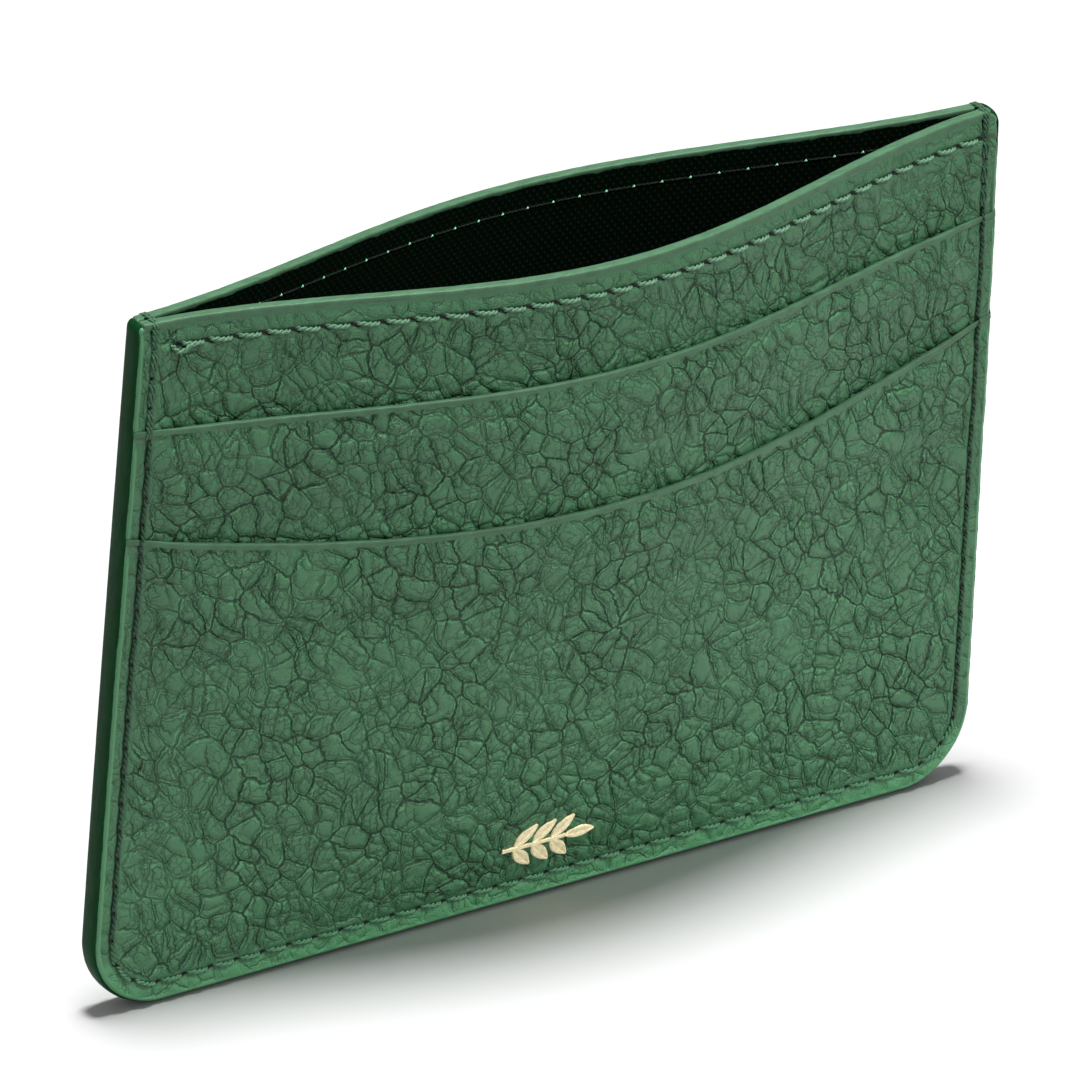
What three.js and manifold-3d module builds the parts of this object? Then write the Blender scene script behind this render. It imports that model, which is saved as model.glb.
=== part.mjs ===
// Leather card holder with one open pocket in the middle and two card slots on its front.
// Millimetres. +X runs along the width, +Z up, and the front faces -Y. The origin is the
// middle of the bottom edge, on the flat that the holder stands on.
//
// Every sheet is described by its flat position on a wall: `across` is the distance from
// the middle of the width, `z` the height, and `depth` how far a face stands outside the
// middle plane. The two walls bow apart towards the mouth, front forwards, rear backwards.
import * as THREE from 'three';
import { mergeVertices } from 'three/addons/utils/BufferGeometryUtils.js';
import Module from 'manifold-3d';

const wasm = await Module();
wasm.setup();

// Overall sizes, edge paint included.
const WIDTH = 100;
const HEIGHT = 72;
const BOTTOM_CORNER_RADIUS = 7.8;
const TOP_CORNER_RADIUS = 2.5;

// How the open mouth stands.
const GAPE = 8.3;
const MOUTH_TAPER = 1.9;
const MOUTH_DIP = 1.1;

// The two card slots: how far each lip lies below the one above it at the sides, its dip in
// the middle, and how far the leather behind it runs on as a hidden hem.
const UPPER_SLOT_DROP = 10.8;
const UPPER_SLOT_DIP = 1.2;
const UPPER_HEM = 6;
const LOWER_SLOT_DROP = 10.6;
const LOWER_SLOT_DIP = 5.0;
const LOWER_HEM = 9.6;

// The fabric backings: their lap behind a hem, and how far above the bottom edge they end.
const BACKING_LAP = 3;
const UPPER_BACKING_FOOT = 12;
const LOWER_BACKING_FOOT = 5;

// Heights over which a sheet leans back past a hem under it, or is pared thin over a lap.
const MIDDLE_DRAPE = 8;
const PANEL_DRAPE = 3.5;
const SKIVE = 1.5;
const STEP_FOOT = 0.2;
const STEP_TOP = 1.0;

// Material thicknesses.
const WALL_LEATHER = 1.0;
const POCKET_LEATHER = 0.8;
const LINING = 0.2;
const EDGE_PAINT = 0.3;
const SLOT_EDGE_PAINT = 0.2;
const GLUE_GAP = 0.08;
const PAINT_GAP = 0.05;
const MEETING_GAP = 0.05;

// Seams.
const SEAM_INSET = 2.0;
const MOUTH_SEAM_DROP = 2.3;
const MOUTH_SEAM_START = 2.8;
const THREAD_WIDTH = 0.5;
const THREAD_HEIGHT = 0.3;
const INNER_THREAD_HEIGHT = 0.2;
const THREAD_GAP = 0.04;
const LOCK_STITCH_LENGTH = 8.5;

// Foil motif on the lower panel.
const MOTIF_WIDTH = 10.5;
const MOTIF_LEAF_LENGTH = 3.4;
const MOTIF_LEAF_WIDTH = 1.3;
const MOTIF_HEIGHT_ABOVE_EDGE = 6.7;
const MOTIF_THICKNESS = 0.12;
const MOTIF_GAP = 0.12;

// Fineness of the faceting.
const COLUMN_STEP = 7;
const ROW_STEP = 9;
const CORNER_STEPS = 4;
const TOP_CORNER_STEPS = 2;
const CLOSEST_COLUMNS = 0.35;
const SLIVER = 0.05;

const UPPER_SLOT_HEIGHT = HEIGHT - UPPER_SLOT_DROP;
const LOWER_SLOT_HEIGHT = UPPER_SLOT_HEIGHT - LOWER_SLOT_DROP;
const CUT_HALF_WIDTH = WIDTH / 2 - EDGE_PAINT - PAINT_GAP;
const CUT_BOTTOM = EDGE_PAINT + PAINT_GAP;
const CUT_TOP = HEIGHT - EDGE_PAINT - PAINT_GAP;
const CUT_RADIUS = BOTTOM_CORNER_RADIUS - EDGE_PAINT - PAINT_GAP;
const SEAM_HEIGHT = CUT_BOTTOM + SEAM_INSET;

// How the walls' bow is shaped: the part of it that starts steeply at the side seams, how
// quickly it rises from the bottom seam, how the taper grows, and how full a slot's dip is.
const SEAM_SHARE = 0.2;
const RISE_POWER = 2.1;
const TAPER_POWER = 1.2;
const SLOT_FULLNESS = 1.6;

const FRONT = -1;
const REAR = 1;

const clamp = (value, low, high) => Math.min(Math.max(value, low), high);

// 0 below `low`, 1 above `high`, straight between.
const above = (z, low, high) => clamp((z - low) / (high - low), 0, 1);

// ---- The shape of the opened walls ----

// 1 in the middle of the width, 0 at both side edges.
function crossShape(across) {
  const wave = Math.cos((Math.PI / 2) * clamp(across / CUT_HALF_WIDTH, -1, 1));
  return SEAM_SHARE * wave + (1 - SEAM_SHARE) * wave * wave;
}

// 0 at the bottom seam, 1 at the mouth.
function rise(z) {
  const share = clamp((z - SEAM_HEIGHT) / (HEIGHT - SEAM_HEIGHT), 0, 1);
  return 1 - Math.pow(1 - share, RISE_POWER);
}

function narrowing(z) {
  const share = clamp(z / HEIGHT, 0, 1);
  return 1 - (MOUTH_TAPER / (WIDTH / 2)) * Math.pow(share, TAPER_POWER);
}

function place(across, z, depth, wall) {
  const bow = GAPE * rise(z) * crossShape(across);
  return [across * narrowing(z), wall * (bow + depth), z];
}

// ---- Layers of the front wall, from the middle plane outwards ----

const STRIP_FOOT = UPPER_SLOT_HEIGHT - UPPER_HEM;
const DRAPE_FOOT = STRIP_FOOT - MIDDLE_DRAPE;
const UPPER_BACKING_TOP = STRIP_FOOT + BACKING_LAP;
const MIDDLE_FOOT = LOWER_SLOT_HEIGHT - LOWER_HEM;
const LOWER_BACKING_TOP = MIDDLE_FOOT + BACKING_LAP;
const PANEL_DRAPE_FOOT = MIDDLE_FOOT - PANEL_DRAPE;

const liningInner = () => MEETING_GAP;
const liningOuter = () => MEETING_GAP + LINING;
const WALL_INNER = MEETING_GAP + LINING + GLUE_GAP;
const WALL_OUTER = WALL_INNER + WALL_LEATHER;
const LAP = LINING + GLUE_GAP;

const rearPanelInner = () => WALL_INNER;
const rearPanelOuter = () => WALL_OUTER;

const upperBackingInner = () => WALL_INNER;
const upperBackingOuter = () => WALL_INNER + LINING;

const mouthStripInner = (z) => {
  return WALL_INNER + LAP * (1 - above(z, UPPER_BACKING_TOP, UPPER_BACKING_TOP + SKIVE));
};
const mouthStripOuter = () => WALL_OUTER;

const middleBase = (z) => {
  const low = WALL_INNER + LAP;
  const high = WALL_OUTER + GLUE_GAP;
  return low + (high - low) * above(z, DRAPE_FOOT, STRIP_FOOT);
};
const middleStripInner = (z) => {
  return middleBase(z) + LAP * (1 - above(z, LOWER_BACKING_TOP, LOWER_BACKING_TOP + SKIVE));
};
const middleStripOuter = (z) => middleBase(z) + POCKET_LEATHER;

const lowerBackingInner = () => WALL_INNER + LAP;
const lowerBackingOuter = () => WALL_INNER + LAP + LINING;

const lowerPanelInner = (z) => {
  const low = WALL_INNER + 2 * LAP;
  const high = middleStripOuter(z) + GLUE_GAP;
  return low + (high - low) * above(z, PANEL_DRAPE_FOOT, MIDDLE_FOOT);
};
const lowerPanelOuter = (z) => lowerPanelInner(z) + POCKET_LEATHER;

// Outermost face of the front wall at a side edge, with each slot's step a short slope.
function frontFace(z) {
  const atStrip = above(z, UPPER_SLOT_HEIGHT + STEP_FOOT, UPPER_SLOT_HEIGHT + STEP_TOP);
  const atMiddle = above(z, LOWER_SLOT_HEIGHT + STEP_FOOT, LOWER_SLOT_HEIGHT + STEP_TOP);
  const belowMouth = middleStripOuter(z) + (mouthStripOuter(z) - middleStripOuter(z)) * atStrip;
  return lowerPanelOuter(z) + (belowMouth - lowerPanelOuter(z)) * atMiddle;
}
const rearFace = () => WALL_OUTER;

// ---- Outlines ----

// Height of the bottom edge, round the two bottom corners.
function bottomEdge(across) {
  const into = clamp(Math.abs(across) - (CUT_HALF_WIDTH - CUT_RADIUS), 0, CUT_RADIUS);
  return CUT_BOTTOM + CUT_RADIUS - Math.sqrt(CUT_RADIUS * CUT_RADIUS - into * into);
}

// Height of the mouth edge, round the two small top corners.
function mouthEdge(across) {
  const into = clamp(Math.abs(across) - (CUT_HALF_WIDTH - TOP_CORNER_RADIUS), 0, TOP_CORNER_RADIUS);
  const corner = TOP_CORNER_RADIUS - Math.sqrt(TOP_CORNER_RADIUS ** 2 - into * into);
  return CUT_TOP - MOUTH_DIP * crossShape(across) - corner;
}

// A slot lip sags more evenly than the mouth: nearly a circular arc.
function slotLip(across, height, dip) {
  const wave = Math.cos((Math.PI / 2) * (across / CUT_HALF_WIDTH));
  const sag = SLOT_FULLNESS * wave + (1 - SLOT_FULLNESS) * wave * wave;
  return height - SLOT_EDGE_PAINT - dip * sag;
}
const upperLip = (across) => slotLip(across, UPPER_SLOT_HEIGHT, UPPER_SLOT_DIP);
const lowerLip = (across) => slotLip(across, LOWER_SLOT_HEIGHT, LOWER_SLOT_DIP);

// Values in rising order, without those that follow another more closely than `closest`.
const sorted = (values, closest = 2 * SLIVER) => {
  const ordered = [...values].sort((a, b) => a - b);
  return ordered.filter((value, i) => i === 0 || value - ordered[i - 1] > closest);
};

// Columns that every sheet shares, close together at the round corners.
function makeColumns() {
  const half = CUT_HALF_WIDTH - CUT_RADIUS;
  const count = 2 * Math.round(half / COLUMN_STEP);
  const right = [];
  for (let i = 0; i <= count / 2; i++) {
    right.push((2 * half * i) / count);
  }
  for (let i = 1; i < CORNER_STEPS; i++) {
    right.push(half + CUT_RADIUS * Math.sin((Math.PI / 2) * (i / CORNER_STEPS)));
  }
  for (let i = 0; i < TOP_CORNER_STEPS; i++) {
    const turn = (Math.PI / 2) * (i / TOP_CORNER_STEPS);
    right.push(CUT_HALF_WIDTH - TOP_CORNER_RADIUS * (1 - Math.sin(turn)));
  }
  const inner = right.filter((value) => value < CUT_HALF_WIDTH - CLOSEST_COLUMNS);
  const kept = [...sorted(inner, CLOSEST_COLUMNS), CUT_HALF_WIDTH];
  return [...kept.slice(1).map((value) => -value).reverse(), ...kept];
}

// Heights that every sheet shares, so that neighbours lie parallel.
function makeLevels() {
  const ramps = [DRAPE_FOOT, STRIP_FOOT, UPPER_BACKING_TOP, UPPER_BACKING_TOP + SKIVE];
  ramps.push(PANEL_DRAPE_FOOT, MIDDLE_FOOT, LOWER_BACKING_TOP, LOWER_BACKING_TOP + SKIVE);
  ramps.push(SEAM_HEIGHT, LOWER_BACKING_FOOT, UPPER_BACKING_FOOT);
  const even = [];
  for (let z = ROW_STEP; z < CUT_TOP; z += ROW_STEP) {
    if (ramps.every((ramp) => Math.abs(ramp - z) > ROW_STEP / 3)) {
      even.push(z);
    }
  }
  return sorted([...ramps, ...even]);
}

const COLUMNS = makeColumns();
const LEVELS = makeLevels();

// ---- Meshes ----

function meshGeometry(rings, caps) {
  const count = rings[0].length;
  const points = rings.flat();
  const faces = [];
  for (let r = 0; r + 1 < rings.length; r++) {
    for (let k = 0; k < count; k++) {
      const next = (k + 1) % count;
      const a = r * count + k;
      const b = r * count + next;
      // Both faces of a sheet are split along the same diagonal, so they stay parallel.
      if (k < count / 2) {
        faces.push([a, b, b + count], [a, b + count, a + count]);
      } else {
        faces.push([a, b, a + count], [b, b + count, a + count]);
      }
    }
  }
  faces.push(...caps);
  if (signedVolume(points, faces) < 0) {
    faces.forEach((face) => face.reverse());
  }
  const geometry = new THREE.BufferGeometry();
  geometry.setAttribute('position', new THREE.Float32BufferAttribute(points.flat(), 3));
  geometry.setIndex(faces.flat());
  return geometry;
}

function signedVolume(points, faces) {
  return faces.reduce((sum, [a, b, c]) => {
    const p = new THREE.Vector3(...points[a]);
    const q = new THREE.Vector3(...points[b]);
    const r = new THREE.Vector3(...points[c]);
    return sum + p.dot(q.cross(r)) / 6;
  }, 0);
}

// A solid through matching rings. Each end is closed rung by rung across its ring.
function loft(rings) {
  const count = rings[0].length;
  const last = (rings.length - 1) * count;
  const caps = [];
  for (let k = 0; k < count / 2 - 1; k++) {
    const far = count - 1 - k;
    const rungs = [[k, far, far - 1], [k, far - 1, k + 1]];
    rungs.forEach(([a, b, c]) => {
      caps.push([a, b, c], [last + c, last + b, last + a]);
    });
  }
  return meshGeometry(rings, caps);
}

// Heights of one sheet's rows at a column, kept in order between its two edges.
function rowHeights(levels, low, high) {
  const inner = levels.map((level, k) => {
    const floor = low + (k + 1) * SLIVER;
    const ceiling = high - (levels.length - k) * SLIVER;
    return clamp(level, floor, ceiling);
  });
  return [low, ...inner, high];
}

function sheet({ wall, inner, outer, bottom, top }) {
  const lows = COLUMNS.map(bottom);
  const highs = COLUMNS.map(top);
  const lowest = Math.min(...lows);
  const highest = Math.max(...highs);
  const levels = LEVELS.filter((level) => level > lowest + SLIVER && level < highest - SLIVER);
  const rings = COLUMNS.map((across, i) => {
    const rows = rowHeights(levels, lows[i], highs[i]);
    const outside = rows.map((z) => place(across, z, outer(z), wall));
    const inside = rows.map((z) => place(across, z, inner(z), wall));
    return [...outside, ...inside.reverse()];
  });
  return loft(rings);
}

// A domed bead of edge paint. Each station gives the edge's place, its outward direction
// and the edge's own two faces: `from` and `to`, each a wall and a depth.
function bead(stations, thickness) {
  const profile = [[0, 0], [0, 0.45], [0.22, 1], [0.78, 1], [1, 0.45], [1, 0]];
  const rings = stations.map(({ across, z, out, from, to }) => {
    return profile.map(([share, lift]) => {
      const reach = PAINT_GAP + lift * thickness;
      const x = across + out[0] * reach;
      const height = z + out[1] * reach;
      const start = place(x, height, from.depth, from.wall);
      const end = place(x, height, to.depth, to.wall);
      return start.map((value, axis) => value + (end[axis] - value) * share);
    });
  });
  return loft(rings);
}

// Outward direction of a line of stations, turned from the way it runs.
function outwardDirections(line, turn) {
  return line.map((point, i) => {
    const before = line[Math.max(i - 1, 0)];
    const after = line[Math.min(i + 1, line.length - 1)];
    const run = new THREE.Vector2(after[0] - before[0], after[1] - before[1]).normalize();
    return [-run.y * turn, run.x * turn];
  });
}

function lipBead(edge, wall, inner, outer, thickness) {
  const line = COLUMNS.map((across) => [across, edge(across)]);
  const outs = outwardDirections(line, 1);
  const stations = line.map(([across, z], i) => ({
    across,
    z,
    out: outs[i],
    from: { wall, depth: inner(z) },
    to: { wall, depth: outer(z) },
  }));
  return bead(stations, thickness);
}

// Heights of the stations up one side, close together where the stack steps at a lip.
function sideHeights(low, top) {
  const steps = [UPPER_SLOT_HEIGHT + STEP_FOOT, UPPER_SLOT_HEIGHT + STEP_TOP];
  steps.push(LOWER_SLOT_HEIGHT + STEP_FOOT, LOWER_SLOT_HEIGHT + STEP_TOP);
  const between = sorted([...LEVELS, ...steps]).filter((z) => z > low + 1 && z < top - 0.4);
  return [...between, top];
}

function mirrored(line) {
  return [...line].reverse().map(([across, z]) => [-across, z]);
}

// The cut edge itself: left side, bottom and right side.
function cutEdgeLine(top) {
  const left = sideHeights(CUT_BOTTOM + CUT_RADIUS, top).map((z) => [-CUT_HALF_WIDTH, z]);
  const bottom = COLUMNS.map((across) => [across, bottomEdge(across)]);
  const right = [...left].map(([across, z]) => [-across, z]);
  return [...left.reverse(), ...bottom, ...right];
}

// The seam line, inside the cut edge.
function seamLine(top) {
  const half = CUT_HALF_WIDTH - SEAM_INSET;
  const radius = Math.max(CUT_RADIUS - SEAM_INSET, SLIVER);
  const low = SEAM_HEIGHT;
  const left = sideHeights(low + radius, top).map((z) => [-half, z]);
  const corner = [];
  for (let i = 0; i <= CORNER_STEPS; i++) {
    const turn = (Math.PI / 2) * (i / CORNER_STEPS);
    corner.push([-half + radius * (1 - Math.cos(turn)), low + radius * (1 - Math.sin(turn))]);
  }
  const flat = COLUMNS.filter((across) => across < -1 && across > -half + radius + 1);
  const leftHalf = [...left.reverse(), ...corner, ...flat.map((across) => [across, low])];
  return [...leftHalf, [0, low], ...mirrored(leftHalf)];
}

function perimeterBead() {
  const top = mouthEdge(CUT_HALF_WIDTH) - PAINT_GAP;
  const line = cutEdgeLine(top);
  const outs = outwardDirections(line, -1);
  const stations = line.map(([across, z], i) => ({
    across,
    z,
    out: outs[i],
    from: { wall: REAR, depth: rearFace() },
    to: { wall: FRONT, depth: frontFace(z) },
  }));
  return bead(stations, EDGE_PAINT);
}

// A thread laid along points, with a flattened hexagon for its section. Its width lies
// across `normal`, or along `width` where that is given.
function thread(points, height, { normal, width }) {
  const vectors = points.map((point) => new THREE.Vector3(...point));
  const rings = vectors.map((point, i) => {
    const before = vectors[Math.max(i - 1, 0)];
    const after = vectors[Math.min(i + 1, vectors.length - 1)];
    const along = after.clone().sub(before).normalize();
    const side = width ?? normal.clone().cross(along).normalize();
    const up = along.clone().cross(side).normalize();
    const corners = [[1, 0], [0.5, 1], [-0.5, 1], [-1, 0], [-0.5, -1], [0.5, -1]];
    return corners.map(([a, b]) => {
      const corner = point.clone();
      corner.addScaledVector(side, (a * THREAD_WIDTH) / 2);
      corner.addScaledVector(up, (b * height) / 2);
      return corner.toArray();
    });
  });
  return loft(rings);
}

const THREAD_CENTRE = THREAD_GAP + THREAD_HEIGHT / 2;
const LOCK_FOOT = mouthEdge(CUT_HALF_WIDTH - SEAM_INSET) - LOCK_STITCH_LENGTH;

function perimeterThread(wall, face) {
  const line = seamLine(LOCK_FOOT - PAINT_GAP);
  const points = line.map(([across, z]) => {
    // The face may step between two points, so the thread clears the higher one.
    const cover = Math.max(face(z), face(z - 1), face(z + 1));
    return place(across, z, cover + THREAD_CENTRE + SLIVER, wall);
  });
  return thread(points, THREAD_HEIGHT, { normal: new THREE.Vector3(0, wall, 0) });
}

function mouthThread(wall, depth, height) {
  const end = CUT_HALF_WIDTH - SEAM_INSET - MOUTH_SEAM_START;
  const between = COLUMNS.filter((across) => Math.abs(across) < end - 1);
  const points = [-end, ...between, end].map((across) => {
    return place(across, mouthEdge(across) - MOUTH_SEAM_DROP, depth, wall);
  });
  return thread(points, height, { normal: new THREE.Vector3(0, wall, 0) });
}

// Back stitches that run up one face, over the mouth edge and down the other.
function lockStitches(side) {
  const across = side * (CUT_HALF_WIDTH - SEAM_INSET);
  const lip = mouthEdge(across) + PAINT_GAP + EDGE_PAINT;
  const depth = WALL_OUTER + THREAD_CENTRE + SLIVER;
  const crest = lip + THREAD_CENTRE;
  const shoulder = 0.6;
  const half = [
    [FRONT, depth, LOCK_FOOT],
    [FRONT, depth, (LOCK_FOOT + crest) / 2],
    [FRONT, depth, crest - shoulder],
    [FRONT, depth - shoulder * 0.4, crest - shoulder * 0.15],
    [FRONT, depth - shoulder, crest],
  ];
  const back = [...half].reverse().map(([, away, z]) => [REAR, away, z]);
  const points = [...half, ...back].map(([wall, away, z]) => place(across, z, away, wall));
  return thread(points, THREAD_HEIGHT, { width: new THREE.Vector3(1, 0, 0) });
}

// ---- Foil motif: a lying sprig of leaves on one stem ----

function solidOf(geometry) {
  const bare = geometry.clone();
  bare.deleteAttribute('normal');
  bare.deleteAttribute('uv');
  const merged = mergeVertices(bare, 1e-4);
  return new wasm.Manifold(
    new wasm.Mesh({
      numProp: 3,
      vertProperties: new Float32Array(merged.attributes.position.array),
      triVerts: new Uint32Array(merged.index.array),
    }),
  );
}

function geometryOf(solid) {
  const mesh = solid.getMesh();
  const geometry = new THREE.BufferGeometry();
  geometry.setAttribute('position', new THREE.BufferAttribute(new Float32Array(mesh.vertProperties), 3));
  geometry.setIndex(new THREE.BufferAttribute(new Uint32Array(mesh.triVerts), 1));
  return geometry;
}

function leafGeometry(x, y, angle, length) {
  const half = MOTIF_LEAF_WIDTH / 2;
  const leaf = new THREE.Shape();
  leaf.moveTo(0, 0);
  leaf.quadraticCurveTo(length * 0.45, half * 2, length, 0);
  leaf.quadraticCurveTo(length * 0.45, -half * 2, 0, 0);
  const geometry = new THREE.ExtrudeGeometry(leaf, {
    depth: MOTIF_THICKNESS,
    bevelEnabled: false,
    curveSegments: 6,
  });
  geometry.rotateZ(angle);
  geometry.translate(x, y, 0);
  return geometry;
}

function motifGeometry() {
  const half = MOTIF_WIDTH / 2;
  const stemHeight = MOTIF_LEAF_WIDTH * 0.25;
  const stem = new THREE.BoxGeometry(MOTIF_WIDTH - MOTIF_LEAF_LENGTH, stemHeight, MOTIF_THICKNESS);
  stem.translate(-MOTIF_LEAF_LENGTH / 2, 0, MOTIF_THICKNESS / 2);
  let solid = solidOf(stem);
  const tip = half - MOTIF_LEAF_LENGTH - 0.1;
  solid = solid.add(solidOf(leafGeometry(tip, 0, 0, MOTIF_LEAF_LENGTH + 0.1)));
  const pairs = 3;
  for (let i = 0; i < pairs; i++) {
    const x = -half + 1.2 + i * 2.1;
    for (const turn of [0.8, -0.8]) {
      solid = solid.add(solidOf(leafGeometry(x, 0, turn, MOTIF_LEAF_LENGTH)));
    }
  }
  return geometryOf(solid);
}

function placeMotif(mesh) {
  const z = MOTIF_HEIGHT_ABOVE_EDGE;
  const half = MOTIF_LEAF_LENGTH;
  const low = place(0, z - half, lowerPanelOuter(z - half), FRONT);
  const high = place(0, z + half, lowerPanelOuter(z + half), FRONT);
  const lean = Math.atan2(high[1] - low[1], high[2] - low[2]);
  const deepest = Math.min(place(0, z, lowerPanelOuter(z), FRONT)[1], (low[1] + high[1]) / 2);
  mesh.position.set(0, deepest - MOTIF_GAP, z);
  mesh.rotation.set(Math.PI / 2 - lean, 0, 0);
}

// ---- The assembly ----

const LEATHER = { color: 0x3f6647, roughness: 0.55, metalness: 0 };
const FABRIC = { color: 0x06120b, roughness: 0.85, metalness: 0 };
const PAINT = { color: 0x2f5539, roughness: 0.35, metalness: 0 };
const THREAD = { color: 0x2c4d34, roughness: 0.7, metalness: 0 };
const FOIL = { color: 0xd8c58a, roughness: 0.3, metalness: 1 };

const holder = new THREE.Group();

function add(name, geometry, finish) {
  const mesh = new THREE.Mesh(geometry, new THREE.MeshStandardMaterial(finish));
  mesh.name = name;
  holder.add(mesh);
  return mesh;
}

function addSheet(name, finish, wall, inner, outer, bottom, top) {
  return add(name, sheet({ wall, inner, outer, bottom, top }), finish);
}

const flatEdge = (height) => (across) => Math.max(height, bottomEdge(across));
const capEdge = (height) => () => height;

addSheet('rear_panel', LEATHER, REAR, rearPanelInner, rearPanelOuter, bottomEdge, mouthEdge);
addSheet('rear_lining', FABRIC, REAR, liningInner, liningOuter, bottomEdge, mouthEdge);
addSheet('front_lining', FABRIC, FRONT, liningInner, liningOuter, bottomEdge, mouthEdge);
addSheet(
  'upper_slot_backing', FABRIC, FRONT, upperBackingInner, upperBackingOuter,
  flatEdge(UPPER_BACKING_FOOT), capEdge(UPPER_BACKING_TOP),
);
addSheet(
  'mouth_strip', LEATHER, FRONT, mouthStripInner, mouthStripOuter,
  capEdge(STRIP_FOOT), mouthEdge,
);
addSheet(
  'lower_slot_backing', FABRIC, FRONT, lowerBackingInner, lowerBackingOuter,
  flatEdge(LOWER_BACKING_FOOT), capEdge(LOWER_BACKING_TOP),
);
addSheet(
  'middle_strip', LEATHER, FRONT, middleStripInner, middleStripOuter,
  capEdge(MIDDLE_FOOT), upperLip,
);
addSheet('lower_panel', LEATHER, FRONT, lowerPanelInner, lowerPanelOuter, bottomEdge, lowerLip);

add('perimeter_edge_paint', perimeterBead(), PAINT);
add('rear_mouth_edge_paint', lipBead(mouthEdge, REAR, liningInner, rearFace, EDGE_PAINT), PAINT);
add('front_mouth_edge_paint', lipBead(mouthEdge, FRONT, liningInner, mouthStripOuter, EDGE_PAINT), PAINT);
add(
  'upper_slot_edge_paint',
  lipBead(upperLip, FRONT, middleStripInner, middleStripOuter, SLOT_EDGE_PAINT),
  PAINT,
);
add(
  'lower_slot_edge_paint',
  lipBead(lowerLip, FRONT, lowerPanelInner, lowerPanelOuter, SLOT_EDGE_PAINT),
  PAINT,
);

add('perimeter_needle_thread', perimeterThread(FRONT, frontFace), THREAD);
add('perimeter_bobbin_thread', perimeterThread(REAR, rearFace), THREAD);
add('left_lock_stitches', lockStitches(-1), THREAD);
add('right_lock_stitches', lockStitches(1), THREAD);

const outerThreadDepth = WALL_OUTER + THREAD_CENTRE + SLIVER;
const innerThreadDepth = MEETING_GAP - THREAD_GAP - INNER_THREAD_HEIGHT / 2;
add('front_mouth_needle_thread', mouthThread(FRONT, outerThreadDepth, THREAD_HEIGHT), THREAD);
add('front_mouth_bobbin_thread', mouthThread(FRONT, innerThreadDepth, INNER_THREAD_HEIGHT), THREAD);
add('rear_mouth_needle_thread', mouthThread(REAR, outerThreadDepth, THREAD_HEIGHT), THREAD);
add('rear_mouth_bobbin_thread', mouthThread(REAR, innerThreadDepth, INNER_THREAD_HEIGHT), THREAD);

placeMotif(add('foil_motif', motifGeometry(), FOIL));

export default holder;
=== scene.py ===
"""Leather card holder: finished pieces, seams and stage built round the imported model.

Lengths inside the shaping functions are millimetres. Every sheet is described flat: `across`
runs along the width from the middle, `z` is the height above the bottom edge, and `depth` is
how far a face stands outside the middle plane of the holder.
"""

import math

import bpy
import numpy as np
from bpy.props import FloatProperty, FloatVectorProperty, PointerProperty
from mathutils import Matrix, Vector


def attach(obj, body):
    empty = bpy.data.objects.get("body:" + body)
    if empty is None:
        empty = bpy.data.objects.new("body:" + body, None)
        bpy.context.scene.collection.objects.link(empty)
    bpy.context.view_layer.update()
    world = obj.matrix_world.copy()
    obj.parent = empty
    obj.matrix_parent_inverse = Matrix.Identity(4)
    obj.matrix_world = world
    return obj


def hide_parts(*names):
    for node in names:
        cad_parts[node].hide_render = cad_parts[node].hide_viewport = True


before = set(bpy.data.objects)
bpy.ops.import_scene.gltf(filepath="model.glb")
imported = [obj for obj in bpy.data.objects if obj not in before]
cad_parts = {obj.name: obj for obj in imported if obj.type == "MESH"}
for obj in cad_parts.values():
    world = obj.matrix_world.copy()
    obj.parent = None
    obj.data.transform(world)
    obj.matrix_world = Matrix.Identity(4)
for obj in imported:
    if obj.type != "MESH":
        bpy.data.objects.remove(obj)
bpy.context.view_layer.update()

bl_info = {
    "name": "Card Holder Workshop",
    "version": (1, 0, 0),
    "blender": (4, 5, 0),
    "location": "3D View > Sidebar > Card Holder",
    "description": "Builds a stitched leather card holder: panels, linings, edge paint and seams",
    "category": "Object",
}

MM = 0.001
FRONT = -1
REAR = 1

# ---- The holder's own sizes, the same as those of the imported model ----

WIDTH = 100.0
HEIGHT = 72.0
BOTTOM_CORNER_RADIUS = 7.8
LEFT_TOP_RADIUS = 0.5
RIGHT_TOP_RADIUS = 1.2
GAPE = 8.3
MOUTH_TAPER = 1.9
MOUTH_DIP = 1.1
UPPER_SLOT_HEIGHT = 61.2
UPPER_SLOT_DIP = 1.2
UPPER_HEM = 6.0
LOWER_SLOT_HEIGHT = 50.35
LOWER_SLOT_DIP = 5.0
LOWER_HEM = 9.6
BACKING_LAP = 3.0
UPPER_BACKING_FOOT = 12.0
LOWER_BACKING_FOOT = 5.0
MIDDLE_DRAPE = 8.0
PANEL_DRAPE = 3.5
SKIVE = 1.5
WALL_LEATHER = 1.0
POCKET_LEATHER = 0.8
LINING = 0.2
EDGE_PAINT = 0.3
SLOT_EDGE_PAINT = 0.2
GLUE_GAP = 0.08
PAINT_GAP = 0.05
MEETING_GAP = 0.05
SEAM_INSET = 2.0
SIDE_SEAM_INSET = 1.6
MOUTH_SEAM_DROP = 2.3
MOUTH_SEAM_START = 2.6
LOCK_STITCH_LENGTH = 8.5
MOTIF_WIDTH = 10.5
MOTIF_LEAF_LENGTH = 3.4
MOTIF_LEAF_WIDTH = 1.3
MOTIF_HEIGHT_ABOVE_EDGE = 6.7

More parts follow.
